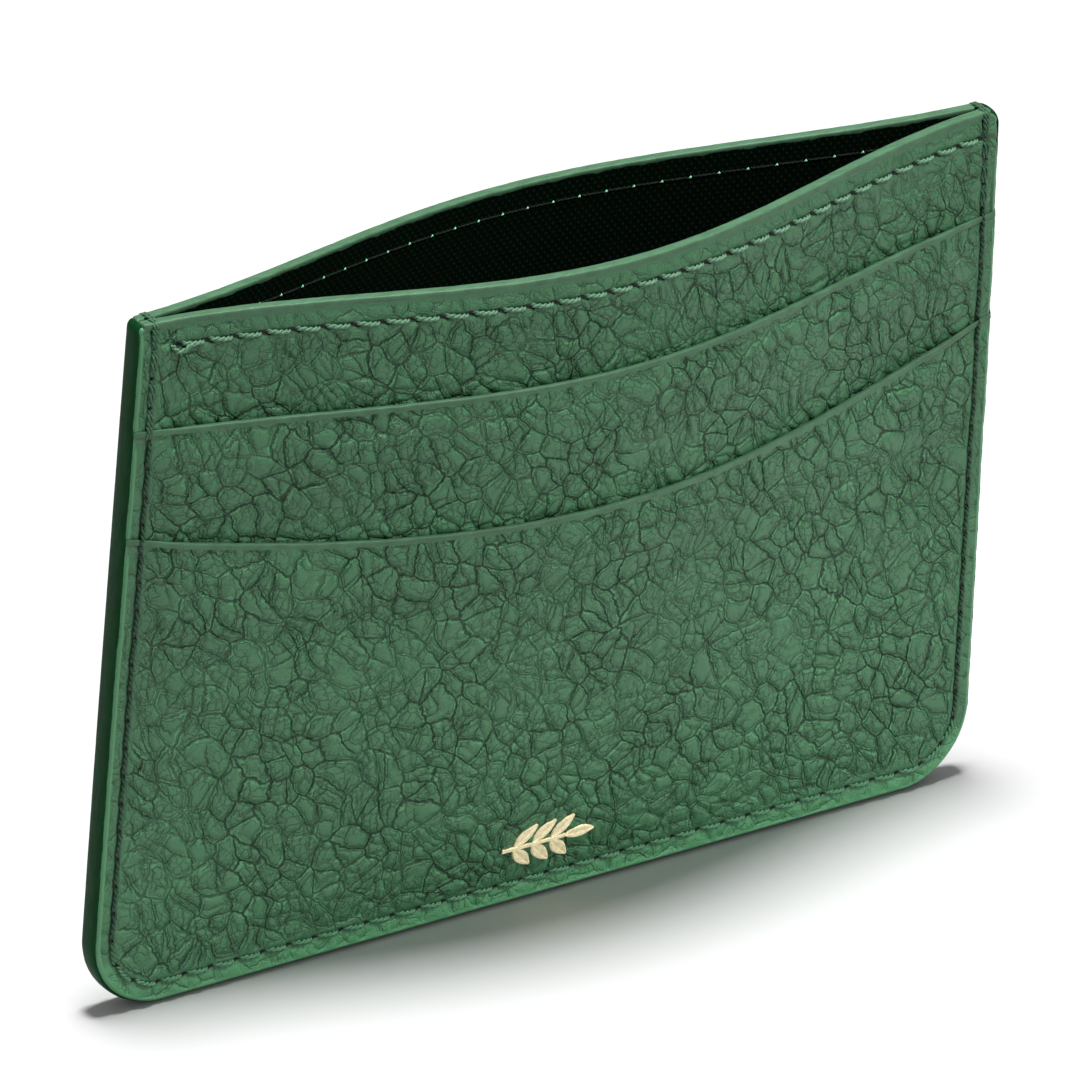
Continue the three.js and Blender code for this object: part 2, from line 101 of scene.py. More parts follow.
HALF = WIDTH / 2 - EDGE_PAINT - PAINT_GAP
CUT_BOTTOM = EDGE_PAINT + PAINT_GAP
CUT_TOP = HEIGHT - EDGE_PAINT - PAINT_GAP
CUT_RADIUS = BOTTOM_CORNER_RADIUS - EDGE_PAINT - PAINT_GAP
SEAM_HEIGHT = CUT_BOTTOM + SEAM_INSET
SEAM_HALF = HALF - SIDE_SEAM_INSET
SEAM_RADIUS = CUT_RADIUS - SEAM_INSET
MOUTH_SEAM_END = SEAM_HALF - MOUTH_SEAM_START
CORNER_ACROSS = HALF - CUT_RADIUS
CORNER_HEIGHT = CUT_BOTTOM + CUT_RADIUS
SEAM_CORNER = SEAM_HALF - SEAM_RADIUS
STRIP_FOOT = UPPER_SLOT_HEIGHT - UPPER_HEM
DRAPE_FOOT = STRIP_FOOT - MIDDLE_DRAPE
UPPER_BACKING_TOP = STRIP_FOOT + BACKING_LAP
MIDDLE_FOOT = LOWER_SLOT_HEIGHT - LOWER_HEM
LOWER_BACKING_TOP = MIDDLE_FOOT + BACKING_LAP
PANEL_DRAPE_FOOT = MIDDLE_FOOT - PANEL_DRAPE
WALL_INNER = MEETING_GAP + LINING + GLUE_GAP
WALL_OUTER = WALL_INNER + WALL_LEATHER
LAP = LINING + GLUE_GAP

# ---- Flat sizes before folding and sewing ----

SHEET_WIDTH = 99.3
PANEL_SIZE = (SHEET_WIDTH, 71.3)

# ---- Finish details that the model leaves plain ----

EDGE_ROUND = 0.32
SEAM_GROOVE = 0.16
SEAM_GROOVE_WIDTH = 0.42
HOLE_DIP = 0.26
HOLE_SPAN = 0.34
STITCH_PHASE = 0.8
LOCK_STRANDS = (-0.17, 0.17)
LOCK_LOOP = 2.7
STITCH_GAP = 0.27
STITCH_SINK = 0.30
STITCH_CROWN = 0.20
THREAD_TWIST = 1.15
THREAD_STEP = 0.14
SIDE_SEAM_FOOT = 4.0
SEAM_REACH = 1.2
LIP_BAND = 0.6
LIP_SKIVE = 0.3
SLOT_SKIVE = 0.32
CORNER_TURN = math.radians(75.0)
FINE_EDGE = 0.11
SIDE_PRESS = 0.78
SIDE_PRESS_WIDTH = 7.0


# ---- Settings a user may change ----


def colour_setting(name, description, default):
    return FloatVectorProperty(name=name, description=description, subtype="COLOR", size=3,
                               min=0.0, max=1.0, default=default)


def length_setting(name, description, default, low, high):
    return FloatProperty(name=name, description=description, unit="LENGTH",
                         default=default, min=low, max=high)


def power_setting(name, description, default):
    return FloatProperty(name=name, description=description, unit="POWER",
                         default=default, min=0.0)


class HolderLeather(bpy.types.PropertyGroup):
    """The pebbled leather of the four outer sheets."""

    colour: colour_setting("Leather", "Colour on the tops of the grain", (0.039, 0.132, 0.058))
    # Painted shade: the creases are coloured darker to stand for the shade that falls in them.
    crease_shade_colour: colour_setting("Creases", "Colour at the bottom of the creases",
                                  (0.002, 0.015, 0.005))
    cell_length: length_setting("Grain length", "Length of one pebble of the grain",
                                0.0032, 0.001, 0.01)
    cell_width: length_setting("Grain width", "Width of one pebble of the grain",
                               0.0021, 0.0005, 0.008)
    relief: length_setting("Grain depth", "Depth of the deepest creases", 0.0002, 0.0, 0.0005)


class HolderSeams(bpy.types.PropertyGroup):
    """The sewing thread and the holes it runs through."""

    colour: colour_setting("Thread", "Colour of the thread", (0.072, 0.185, 0.100))
    pitch: length_setting("Stitch length", "Distance from one needle hole to the next",
                          0.0029, 0.0015, 0.006)
    ply_width: length_setting("Ply width", "Width of one of the thread's two plies",
                              0.00027, 0.0001, 0.0005)


class HolderPaint(bpy.types.PropertyGroup):
    """The glossy paint that seals every cut edge."""

    # One edge paint in two colours: the sides carry painted shade and the lips painted light, for how
    # light falls on each.
    colour: colour_setting("Edge paint", "Colour of the painted sides", (0.0030, 0.040, 0.0100))
    lit_lip_colour: colour_setting("Lip paint", "Colour of the painted lips", (0.058, 0.135, 0.073))


class HolderLining(bpy.types.PropertyGroup):
    """The woven lining and slot backings."""

    colour: colour_setting("Lining", "Colour between the raised threads", (0.0003, 0.0030, 0.0010))
    dot_colour: colour_setting("Raised threads", "Colour of the raised threads",
                               (0.0006, 0.017, 0.0040))
    dot_spacing: length_setting("Weave spacing", "Distance between raised threads along a row",
                                0.0008, 0.0003, 0.003)


class HolderFoil(bpy.types.PropertyGroup):
    """The foil of the pressed motif."""

    colour: colour_setting("Foil", "Colour of the foil", (1.00, 0.86, 0.54))


class HolderStage(bpy.types.PropertyGroup):
    """Floor and lights."""

    floor_colour: colour_setting("Floor", "Colour of the floor", (0.93, 0.93, 0.93))
    key: power_setting("Key light", "Power of the light on the holder", 8.2)
    overhead: power_setting("Overhead light", "Power of the light above the holder", 8.6)
    low: power_setting("Low light", "Power of the light on the lower right of the holder", 2.8)
    room: FloatProperty(
        name="Room light", description="Strength of the even light all round",
        default=0.20, min=0.0,
    )


# ---- The shape of the opened walls ----


def above(z, low, high):
    """0 below `low`, 1 above `high`, straight between."""
    return np.clip((z - low) / (high - low), 0.0, 1.0)


def smooth(value, low, high):
    """0 below `low`, 1 above `high`, with an easy start and end."""
    share = above(value, low, high)
    return share * share * (3.0 - 2.0 * share)


def cross_shape(across):
    """1 in the middle of the width, 0 at both side edges."""
    wave = np.cos(math.pi / 2 * np.clip(across / HALF, -1.0, 1.0))
    return 0.2 * wave + 0.8 * wave * wave


def rise(z):
    """0 at the bottom seam, 1 at the mouth."""
    share = above(z, SEAM_HEIGHT, HEIGHT)
    return 1.0 - (1.0 - share) ** 2.1


def narrowing(z):
    share = np.clip(z / HEIGHT, 0.0, 1.0)
    return 1.0 - MOUTH_TAPER / (WIDTH / 2) * share**1.2


def pressed(across, depth):
    """Depth of a layer, with the pocket layers pared and pressed thin towards the sides."""
    at_side = smooth(np.abs(across), HALF - SIDE_PRESS_WIDTH, HALF - 0.6)
    return depth - SIDE_PRESS * at_side * np.maximum(depth - WALL_OUTER, 0.0)


def place(across, z, depth, wall):
    """Points in space, one row each, for flat positions on a wall."""
    across, z, depth = np.broadcast_arrays(across, z, depth)
    depth = pressed(across, depth)
    bow = GAPE * rise(z) * cross_shape(across)
    return np.stack([across * narrowing(z), wall * (bow + depth), z], axis=-1)


# ---- Layers, from the middle plane outwards ----


def level(depth):
    """A face that stands equally far out at every height."""
    return lambda z: np.full_like(np.asarray(z, dtype=float), depth)


def mouth_strip_inner(z):
    return WALL_INNER + LAP * (1.0 - above(z, UPPER_BACKING_TOP, UPPER_BACKING_TOP + SKIVE))


def middle_base(z):
    low = WALL_INNER + LAP
    high = WALL_OUTER + GLUE_GAP
    return low + (high - low) * smooth(z, DRAPE_FOOT, STRIP_FOOT)


def middle_strip_inner(z):
    return middle_base(z) + LAP * (1.0 - above(z, LOWER_BACKING_TOP, LOWER_BACKING_TOP + SKIVE))


def middle_strip_outer(z):
    return middle_base(z) + POCKET_LEATHER


def lower_panel_inner(z):
    low = WALL_INNER + 2 * LAP
    high = middle_strip_outer(z) + GLUE_GAP
    return low + (high - low) * smooth(z, PANEL_DRAPE_FOOT, MIDDLE_FOOT)


def lower_panel_outer(z):
    return lower_panel_inner(z) + POCKET_LEATHER


def front_face(z):
    """Outermost face of the front wall at the sides, stepping in above each slot's lip."""
    at_strip = smooth(z, UPPER_SLOT_HEIGHT - 0.3, UPPER_SLOT_HEIGHT + 0.3)
    at_middle = smooth(z, LOWER_SLOT_HEIGHT - 0.3, LOWER_SLOT_HEIGHT + 0.3)
    below_mouth = middle_strip_outer(z) + (WALL_OUTER - middle_strip_outer(z)) * at_strip
    return lower_panel_outer(z) + (below_mouth - lower_panel_outer(z)) * at_middle


# ---- Outlines ----


def bottom_edge(across):
    into = np.clip(np.abs(across) - CORNER_ACROSS, 0.0, CUT_RADIUS)
    return CUT_BOTTOM + CUT_RADIUS - np.sqrt(CUT_RADIUS**2 - into * into)


def mouth_edge(across):
    radius = np.where(across < 0, LEFT_TOP_RADIUS, RIGHT_TOP_RADIUS)
    into = np.clip(np.abs(across) - (HALF - radius), 0.0, radius)
    corner = radius - np.sqrt(radius**2 - into * into)
    return CUT_TOP - MOUTH_DIP * cross_shape(across) - corner


def slot_lip(across, height, dip):
    wave = np.cos(math.pi / 2 * np.clip(across / HALF, -1.0, 1.0))
    return height - SLOT_EDGE_PAINT - dip * (1.6 * wave - 0.6 * wave * wave)


def upper_lip(across):
    return slot_lip(across, UPPER_SLOT_HEIGHT, UPPER_SLOT_DIP)


def lower_lip(across):
    return slot_lip(across, LOWER_SLOT_HEIGHT, LOWER_SLOT_DIP)


def flat_edge(height):
    """A straight lower edge that still clears the round bottom corners."""
    return lambda across: np.maximum(height, bottom_edge(across))


def straight_edge(height):
    return lambda across: np.full_like(np.asarray(across, dtype=float), height)


def edge_distance(across, z):
    """How far inside the holder's sides and bottom a flat position lies."""
    over = np.abs(across) - CORNER_ACROSS
    under = CORNER_HEIGHT - z
    round_part = CUT_RADIUS - np.hypot(over, under)
    plain_part = np.minimum(HALF - np.abs(across), z - CUT_BOTTOM)
    return np.where((over > 0) & (under > 0), round_part, plain_part)


def seam_position(across, z):
    """Place along the side-and-bottom seam, from the middle of the bottom, and distance off it."""
    over = np.abs(across) - SEAM_CORNER
    under = CORNER_HEIGHT - z
    quarter = SEAM_RADIUS * math.pi / 2
    turn = np.arctan2(np.maximum(under, 0.0), np.maximum(over, 1e-9))
    in_corner = (over > 0) & (under > 0)
    side_off = SEAM_HALF - np.abs(across)
    bottom_off = z - SEAM_HEIGHT
    by_side = side_off < bottom_off
    along = np.where(by_side, SEAM_CORNER + quarter + (z - CORNER_HEIGHT), np.abs(across))
    off = np.where(by_side, side_off, bottom_off)
    along = np.where(in_corner, SEAM_CORNER + SEAM_RADIUS * (math.pi / 2 - turn), along)
    off = np.where(in_corner, SEAM_RADIUS - np.hypot(over, under), off)
    return np.sign(across) * along, off


def seam_point(along):
    """Flat position of a place along the side-and-bottom seam."""
    quarter = SEAM_RADIUS * math.pi / 2
    half = np.abs(along)
    turn = np.clip((half - SEAM_CORNER) / SEAM_RADIUS, 0.0, math.pi / 2)
    across = np.minimum(half, SEAM_CORNER) + SEAM_RADIUS * np.sin(turn)
    z = SEAM_HEIGHT + SEAM_RADIUS * (1.0 - np.cos(turn))
    z = z + np.maximum(half - SEAM_CORNER - quarter, 0.0)
    return np.sign(along) * across, z


# ---- Meshes ----


def build_object(name, points, faces, smooth_angle=50.0):
    """A named object of millimetre points and faces, shaded smooth but for its sharp edges."""
    mesh = bpy.data.meshes.new(name)
    mesh.from_pydata((np.asarray(points, dtype=float) * MM).tolist(), [], faces)
    mesh.validate(clean_customdata=False)
    mesh.polygons.foreach_set("use_smooth", np.ones(len(mesh.polygons), dtype=bool))
    mesh.set_sharp_from_angle(angle=math.radians(smooth_angle))
    mesh.update()
    piece = bpy.data.objects.new(name, mesh)
    bpy.context.scene.collection.objects.link(piece)
    return piece


def key_lit_pieces():
    """The collection of pieces that the key light and the low light fall on."""
    found = bpy.data.collections.get("key_lit_pieces")
    return found or bpy.data.collections.new("key_lit_pieces")


def points_of(piece):
    """A piece's vertices in millimetres, one row each."""
    points = np.empty(len(piece.data.vertices) * 3)
    piece.data.vertices.foreach_get("co", points)
    return points.reshape(-1, 3) / MM


def move_depth(piece, amount):
    """Moves every vertex along y by its own amount in millimetres."""
    points = np.empty(len(piece.data.vertices) * 3)
    piece.data.vertices.foreach_get("co", points)
    points[1::3] += amount * MM
    piece.data.vertices.foreach_set("co", points)


def add_values(piece, name, values):
    """Stores one number or one vector for every vertex under a name that materials can read."""
    values = np.asarray(values, dtype=np.float32)
    kind = "FLOAT" if values.ndim == 1 else "FLOAT_VECTOR"
    layer = piece.data.attributes.new(name, kind, "POINT")
    layer.data.foreach_set("value" if values.ndim == 1 else "vector", values.ravel())


def spread(length, spacing, multiple=4):
    """Positions from 0 to `length`, as far apart as `spacing` says at each of them."""
    fine = np.linspace(0.0, length, 4000)
    density = 1.0 / spacing(fine)
    count = np.concatenate([[0.0], np.cumsum((density[1:] + density[:-1]) / 2 * np.diff(fine))])
    steps = max(int(math.ceil(count[-1] / multiple)) * multiple, multiple)
    return np.interp(np.linspace(0.0, count[-1], steps + 1), count, fine)


def at_sides(z):
    """0 along the bottom seam, 1 where the seam runs up the sides."""
    return smooth(z, SIDE_SEAM_FOOT, SIDE_SEAM_FOOT + 5.0)


def sheet_columns(step):
    """Positions across a sheet, closer where the corners turn."""

    def spacing(t):
        into = np.clip(np.abs(t - HALF) - CORNER_ACROSS, 0.0, CUT_RADIUS * 0.999)
        lean = np.sqrt(1.0 - (into / CUT_RADIUS) ** 2)
        return np.clip(step * lean, min(FINE_EDGE, step), step)

    return spread(2 * HALF, spacing) - HALF


def sheet_shares(length, step):
    """Shares of the way up a sheet, closer near its two edges."""

    def spacing(t):
        near = np.minimum(t, length - t)
        return FINE_EDGE + (step - FINE_EDGE) * smooth(near, 0.4, 1.4)

    return spread(length, spacing) / length


def grid_faces(columns, rows, start, flip):
    """Quads of a grid whose vertices run up each column in turn."""
    i, j = np.meshgrid(np.arange(columns - 1), np.arange(rows - 1), indexing="ij")
    a = (start + i * rows + j).ravel()
    quads = np.stack([a, a + rows, a + rows + 1, a + 1], axis=1)
    return quads[:, ::-1] if flip else quads


def sheet_piece(name, wall, inner, outer, bottom, top, step, back_step=4):
    """A closed sheet: a fine outer face, a plain inner face and a rim round them."""
    across = sheet_columns(step)
    low, high = bottom(across), top(across)
    share = sheet_shares(float(np.max(high - low)), step)
    columns, rows = len(across), len(share)
    flat_across = np.repeat(across[:, None], rows, axis=1)
    flat_z = low[:, None] + (high - low)[:, None] * share[None, :]
    skip = np.ix_(np.arange(0, columns, back_step), np.arange(0, rows, back_step))
    back_across, back_z = flat_across[skip], flat_z[skip]
    back_columns, back_rows = back_across.shape
    fine = place(flat_across, flat_z, outer(flat_z), wall).reshape(-1, 3)
    back = place(back_across, back_z, inner(back_z), wall).reshape(-1, 3)
    start = len(fine)
    outward = wall == FRONT
    faces = grid_faces(columns, rows, 0, not outward).tolist()
    faces += grid_faces(back_columns, back_rows, start, outward).tolist()
    faces += rim_faces(columns, rows, back_columns, back_rows, back_step, start, outward)
    piece = build_object(name, np.concatenate([fine, back]), faces)
    flat = np.stack([flat_across, flat_z], axis=-1).reshape(-1, 2)
    back_flat = np.stack([back_across, back_z], axis=-1).reshape(-1, 2)
    return piece, np.concatenate([flat, back_flat]), start


def rim_faces(columns, rows, back_columns, back_rows, step, start, outward):
    """Faces that join the border of the fine face to that of the plain one."""

    def fine(i, j):
        return i * rows + j

    def back(i, j):
        return start + i * back_rows + j

    rims = []
    for j in range(back_rows - 1):
        steps = range(j * step, (j + 1) * step + 1)
        rims.append([fine(0, k) for k in steps] + [back(0, j + 1), back(0, j)])
        far = [fine(columns - 1, k) for k in reversed(steps)]
        rims.append(far + [back(back_columns - 1, j), back(back_columns - 1, j + 1)])
    for i in range(back_columns - 1):
        steps = range(i * step, (i + 1) * step + 1)
        low = [fine(k, 0) for k in reversed(steps)]
        rims.append(low + [back(i, 0), back(i + 1, 0)])
        rims.append([fine(k, rows - 1) for k in steps] + [back(i + 1, back_rows - 1),
                                                          back(i, back_rows - 1)])
    return rims if outward else [rim[::-1] for rim in rims]


def tube_faces(rings, count, start=0):
    """Quads round a run of rings, with a face over each end."""
    r, k = np.meshgrid(np.arange(rings - 1), np.arange(count), indexing="ij")
    a = (start + r * count + k).ravel()
    b = (start + r * count + (k + 1) % count).ravel()
    faces = np.stack([a, b, b + count, a + count], axis=1).tolist()
    faces.append([start + i for i in reversed(range(count))])
    faces.append([start + (rings - 1) * count + i for i in range(count)])
    return faces


def turn_outward(points, faces):
    """The same faces, turned over if the closed shape would be inside out."""
    volume = 0.0
    for face in faces:
        a = points[face[0]]
        for k in range(1, len(face) - 1):
            volume += float(np.dot(a, np.cross(points[face[k]], points[face[k + 1]])))
    return faces if volume > 0 else [face[::-1] for face in faces]


def fix_turn(piece):
    """Turns every face over if the closed piece is inside out."""
    mesh = piece.data
    mesh.calc_loop_triangles()
    corners = np.empty(len(mesh.loop_triangles) * 3, dtype=np.int32)
    mesh.loop_triangles.foreach_get("vertices", corners)
    a, b, c = points_of(piece)[corners.reshape(-1, 3)].transpose(1, 0, 2)
    if float((a * np.cross(b, c)).sum()) < 0:
        mesh.flip_normals()


def bead_piece(name, across, z, out, profile):
    """A closed bead along a line of stations. `profile` gives each ring from a flat station."""
    rings = [profile(across[i], z[i], out[i], i) for i in range(len(across))]
    points = np.concatenate(rings)
    faces = turn_outward(points, tube_faces(len(rings), len(rings[0])))
    return build_object(name, points, faces, 60.0)


def square_to(run_across, run_z):
    """Unit directions square to a line, a quarter turn to the left of the way it runs."""
    run = np.stack([run_across, run_z], axis=1)
    run /= np.linalg.norm(run, axis=1)[:, None]
    return np.stack([-run[:, 1], run[:, 0]], axis=1)


def wander(position, seed, size):
    """A slow, repeatable waver along a line, about `size` each way."""
    total = np.zeros_like(position, dtype=float)
    for k, length in enumerate((7.3, 3.1, 1.7, 0.9)):
        phase = seed * (1.7 + k) + k * 2.1
        total += np.sin(position * 2 * math.pi / length + phase) / (k + 1.4)
    return total * size / 1.6


# ---- Materials ----


class NodeKit:
    """Short ways to add and join nodes in a material or a geometry tree."""

    def __init__(self, tree):
        self.tree = tree

    def add(self, kind, **settings):
        node = self.tree.nodes.new(kind)
        for key, value in settings.items():
            setattr(node, key, value)
        return node

    def feed(self, socket, value):
        if isinstance(value, bpy.types.NodeSocket):
            self.tree.links.new(value, socket)
        else:
            socket.default_value = value

    def math(self, operation, first, second=0.0, third=0.0):
        node = self.add("ShaderNodeMath", operation=operation)
        for socket, value in zip(node.inputs, (first, second, third)):
            self.feed(socket, value)
        return node.outputs[0]

    def vector(self, operation, first, second):
        node = self.add("ShaderNodeVectorMath", operation=operation)
        self.feed(node.inputs[0], first)
        self.feed(node.inputs[1], second)
        return node.outputs[0]

    def scaled(self, vector, scale):
        return self.vector("MULTIPLY", vector, (scale, scale, scale))

    def turned(self, vector, angle):
        node = self.add("ShaderNodeVectorRotate", rotation_type="Z_AXIS")
        self.feed(node.inputs["Vector"], vector)
        node.inputs["Angle"].default_value = angle
        return node.outputs[0]

    def ramp(self, value, low, high, start=0.0, end=1.0):
        """`start` below `low`, `end` above `high`, easing between them."""
        node = self.add("ShaderNodeMapRange", interpolation_type="SMOOTHSTEP")
        self.feed(node.inputs["Value"], value)
        for key, number in zip(("From Min", "From Max", "To Min", "To Max"),
                               (low, high, start, end)):
            node.inputs[key].default_value = number
        return node.outputs["Result"]

    def noise(self, vector, scale, detail=2.0, roughness=0.5):
        node = self.add("ShaderNodeTexNoise", noise_dimensions="3D")
        self.feed(node.inputs["Vector"], vector)
        node.inputs["Scale"].default_value = scale
        node.inputs["Detail"].default_value = detail
        node.inputs["Roughness"].default_value = roughness
        return node.outputs

    def cracks(self, vector):
        """Distance to the nearest border between irregular cells of about unit size."""
        node = self.add("ShaderNodeTexVoronoi", voronoi_dimensions="2D",
                        feature="DISTANCE_TO_EDGE")
        self.feed(node.inputs["Vector"], vector)
        node.inputs["Scale"].default_value = 1.0
        return node.outputs["Distance"]

    def ellipse(self, x, half_x, y, half_y):
        """0 in the middle of an ellipse, 1 on its outline, more outside."""
        squares = []
        for value, half in ((x, half_x), (y, half_y)):
            share = self.math("DIVIDE", self.math("ABSOLUTE", value), half)
            squares.append(self.math("POWER", share, 2.0))
        return self.math("ADD", squares[0], squares[1])

    def position(self):
        """Place on the piece in millimetres."""
        return self.scaled(self.add("ShaderNodeTexCoord").outputs["Object"], 1.0 / MM)

    def emboss(self, shader, height):
        """Bumps a shader's surface by a height in millimetres."""
        bump = self.add("ShaderNodeBump")
        bump.inputs["Distance"].default_value = MM
        self.feed(bump.inputs["Height"], height)
        self.feed(shader.inputs["Normal"], bump.outputs[0])

    def parts(self, vector):
        node = self.add("ShaderNodeSeparateXYZ")
        self.feed(node.inputs[0], vector)
        return node.outputs

    def mixed(self, share, first, second):
        node = self.add("ShaderNodeMix", data_type="RGBA")
        self.feed(node.inputs["Factor"], share)
        self.feed(node.inputs[6], first)
        self.feed(node.inputs[7], second)
        return node.outputs[2]


def grain(kit, flat, settings, softness=1.0):
    """Grain of tumbled leather: its height in millimetres, 0 at the tops, its creases and their rims,
    the last two as masks for painted shade and painted highlight.
    """
    bend = kit.noise(flat, 0.15, 1.0)["Color"]
    bend = kit.scaled(kit.vector("SUBTRACT", bend, (0.5, 0.5, 0.5)), 3.6)
    shiver = kit.noise(flat, 1.1, 3.0, 0.65)["Color"]
    shiver = kit.scaled(kit.vector("SUBTRACT", shiver, (0.5, 0.5, 0.5)), 0.9)
    bent = kit.vector("ADD", kit.vector("ADD", flat, bend), shiver)
    long_way = 1.0 / (settings.cell_length / MM)
    short_way = 1.0 / (settings.cell_width / MM)
    lying = kit.turned(bent, math.radians(52.0))
    main = kit.cracks(kit.vector("MULTIPLY", lying, (long_way, short_way, 1.0)))
    crossing = kit.turned(kit.vector("ADD", bent, (31.0, 17.0, 0.0)), math.radians(-21.0))
    minor = kit.cracks(kit.vector("MULTIPLY", crossing, (short_way * 1.1, short_way * 0.8, 1.0)))
    small = kit.cracks(kit.scaled(kit.vector("ADD", bent, (7.0, 53.0, 0.0)), 1.2))
    deep = kit.ramp(kit.noise(flat, 0.11, 2.0)["Fac"], 0.32, 0.62, 0.4, 1.0)
    faint = kit.ramp(kit.noise(flat, 0.23, 1.0)["Fac"], 0.36, 0.60, 0.12, 1.0)
    main_crease = kit.math("MULTIPLY", kit.ramp(main, 0.0, 0.066 * softness, 1.0, 0.0), deep)
    minor_crease = kit.math("MULTIPLY", kit.ramp(minor, 0.0, 0.055 * softness, 1.0, 0.0), faint)
    beside = kit.math("ABSOLUTE", kit.math("SUBTRACT", main, 0.13))
    wrinkled = kit.ramp(kit.noise(flat, 0.31, 1.0)["Fac"], 0.43, 0.54)
    beside = kit.math("MULTIPLY", kit.ramp(beside, 0.0, 0.030, 1.0, 0.0), wrinkled)
    fine_mask = kit.ramp(kit.noise(flat, 0.27, 2.0)["Fac"], 0.38, 0.54)
    small_crease = kit.math("MULTIPLY", kit.ramp(small, 0.0, 0.07, 1.0, 0.0), fine_mask)
    dome = kit.math("MULTIPLY", kit.ramp(main, 0.0, 0.32, 0.0, 1.0), 0.25)
    dome = kit.math("MULTIPLY_ADD", kit.ramp(minor, 0.0, 0.26, 0.0, 1.0), 0.19, dome)
    height = kit.math("SUBTRACT", dome, kit.math("MULTIPLY", main_crease, 0.50))
    height = kit.math("SUBTRACT", height, kit.math("MULTIPLY", minor_crease, 0.28))
    height = kit.math("SUBTRACT", height, kit.math("MULTIPLY", beside, 0.20))
    height = kit.math("SUBTRACT", height, kit.math("MULTIPLY", small_crease, 0.19))
    height = kit.math("MULTIPLY", kit.math("SUBTRACT", height, 0.44), settings.relief / MM)
    # Mask of the creases, used for the painted crease shade and for roughness.
    crease = kit.math("MAXIMUM", kit.math("POWER", main_crease, 1.35),
                      kit.math("MULTIPLY", kit.math("POWER", minor_crease, 1.6), 0.75))
    crease = kit.math("MAXIMUM", crease, kit.math("MULTIPLY", beside, 0.4))
    crease = kit.math("MAXIMUM", crease, kit.math("MULTIPLY", small_crease, 0.4))
    # Mask of the crease rims, which the leather lightens as a painted highlight.
    rim = kit.math("MULTIPLY", kit.ramp(main, 0.05, 0.08), kit.ramp(main, 0.09, 0.15, 1.0, 0.0))
    return height, crease, rim


def new_material(name):
    """An empty node material: its node kit and its surface shader."""
    material = bpy.data.materials.new(name)
    material.use_nodes = True
    tree = material.node_tree
    tree.nodes.clear()
    kit = NodeKit(tree)
    shader = kit.add("ShaderNodeBsdfPrincipled")
    output = kit.add("ShaderNodeOutputMaterial")
    tree.links.new(shader.outputs[0], output.inputs["Surface"])
    return material, kit, shader


def stored(kit, name):
    return kit.add("ShaderNodeAttribute", attribute_name=name)


def colour4(values, scale=1.0):
    return (values[0] * scale, values[1] * scale, values[2] * scale, 1.0)


def needle_holes(kit, seam, pitch):
    """1 inside the slanting slits that the needle leaves, 0 elsewhere."""
    along, off, sewn = kit.parts(seam)
    turns = kit.math("DIVIDE", kit.math("SUBTRACT", along, STITCH_PHASE), pitch)
    nearest = kit.math("MULTIPLY", kit.math("SUBTRACT", turns, kit.math("ROUND", turns)), pitch)
    lean = math.radians(20.0)
    slit_along = kit.math("ADD", kit.math("MULTIPLY", nearest, math.cos(lean)),
                          kit.math("MULTIPLY", off, math.sin(lean)))
    slit_off = kit.math("SUBTRACT", kit.math("MULTIPLY", off, math.cos(lean)),
                        kit.math("MULTIPLY", nearest, math.sin(lean)))
    # The slits are drawn longer up the sides, for more painted shade there.
    slit_along = kit.math("MULTIPLY", slit_along, kit.ramp(sewn, 1.0, 2.0, 1.0, 0.62))
    far = kit.ellipse(slit_along, 0.52, slit_off, 0.17)
    return kit.ramp(far, 0.55, 1.3, 1.0, 0.0)


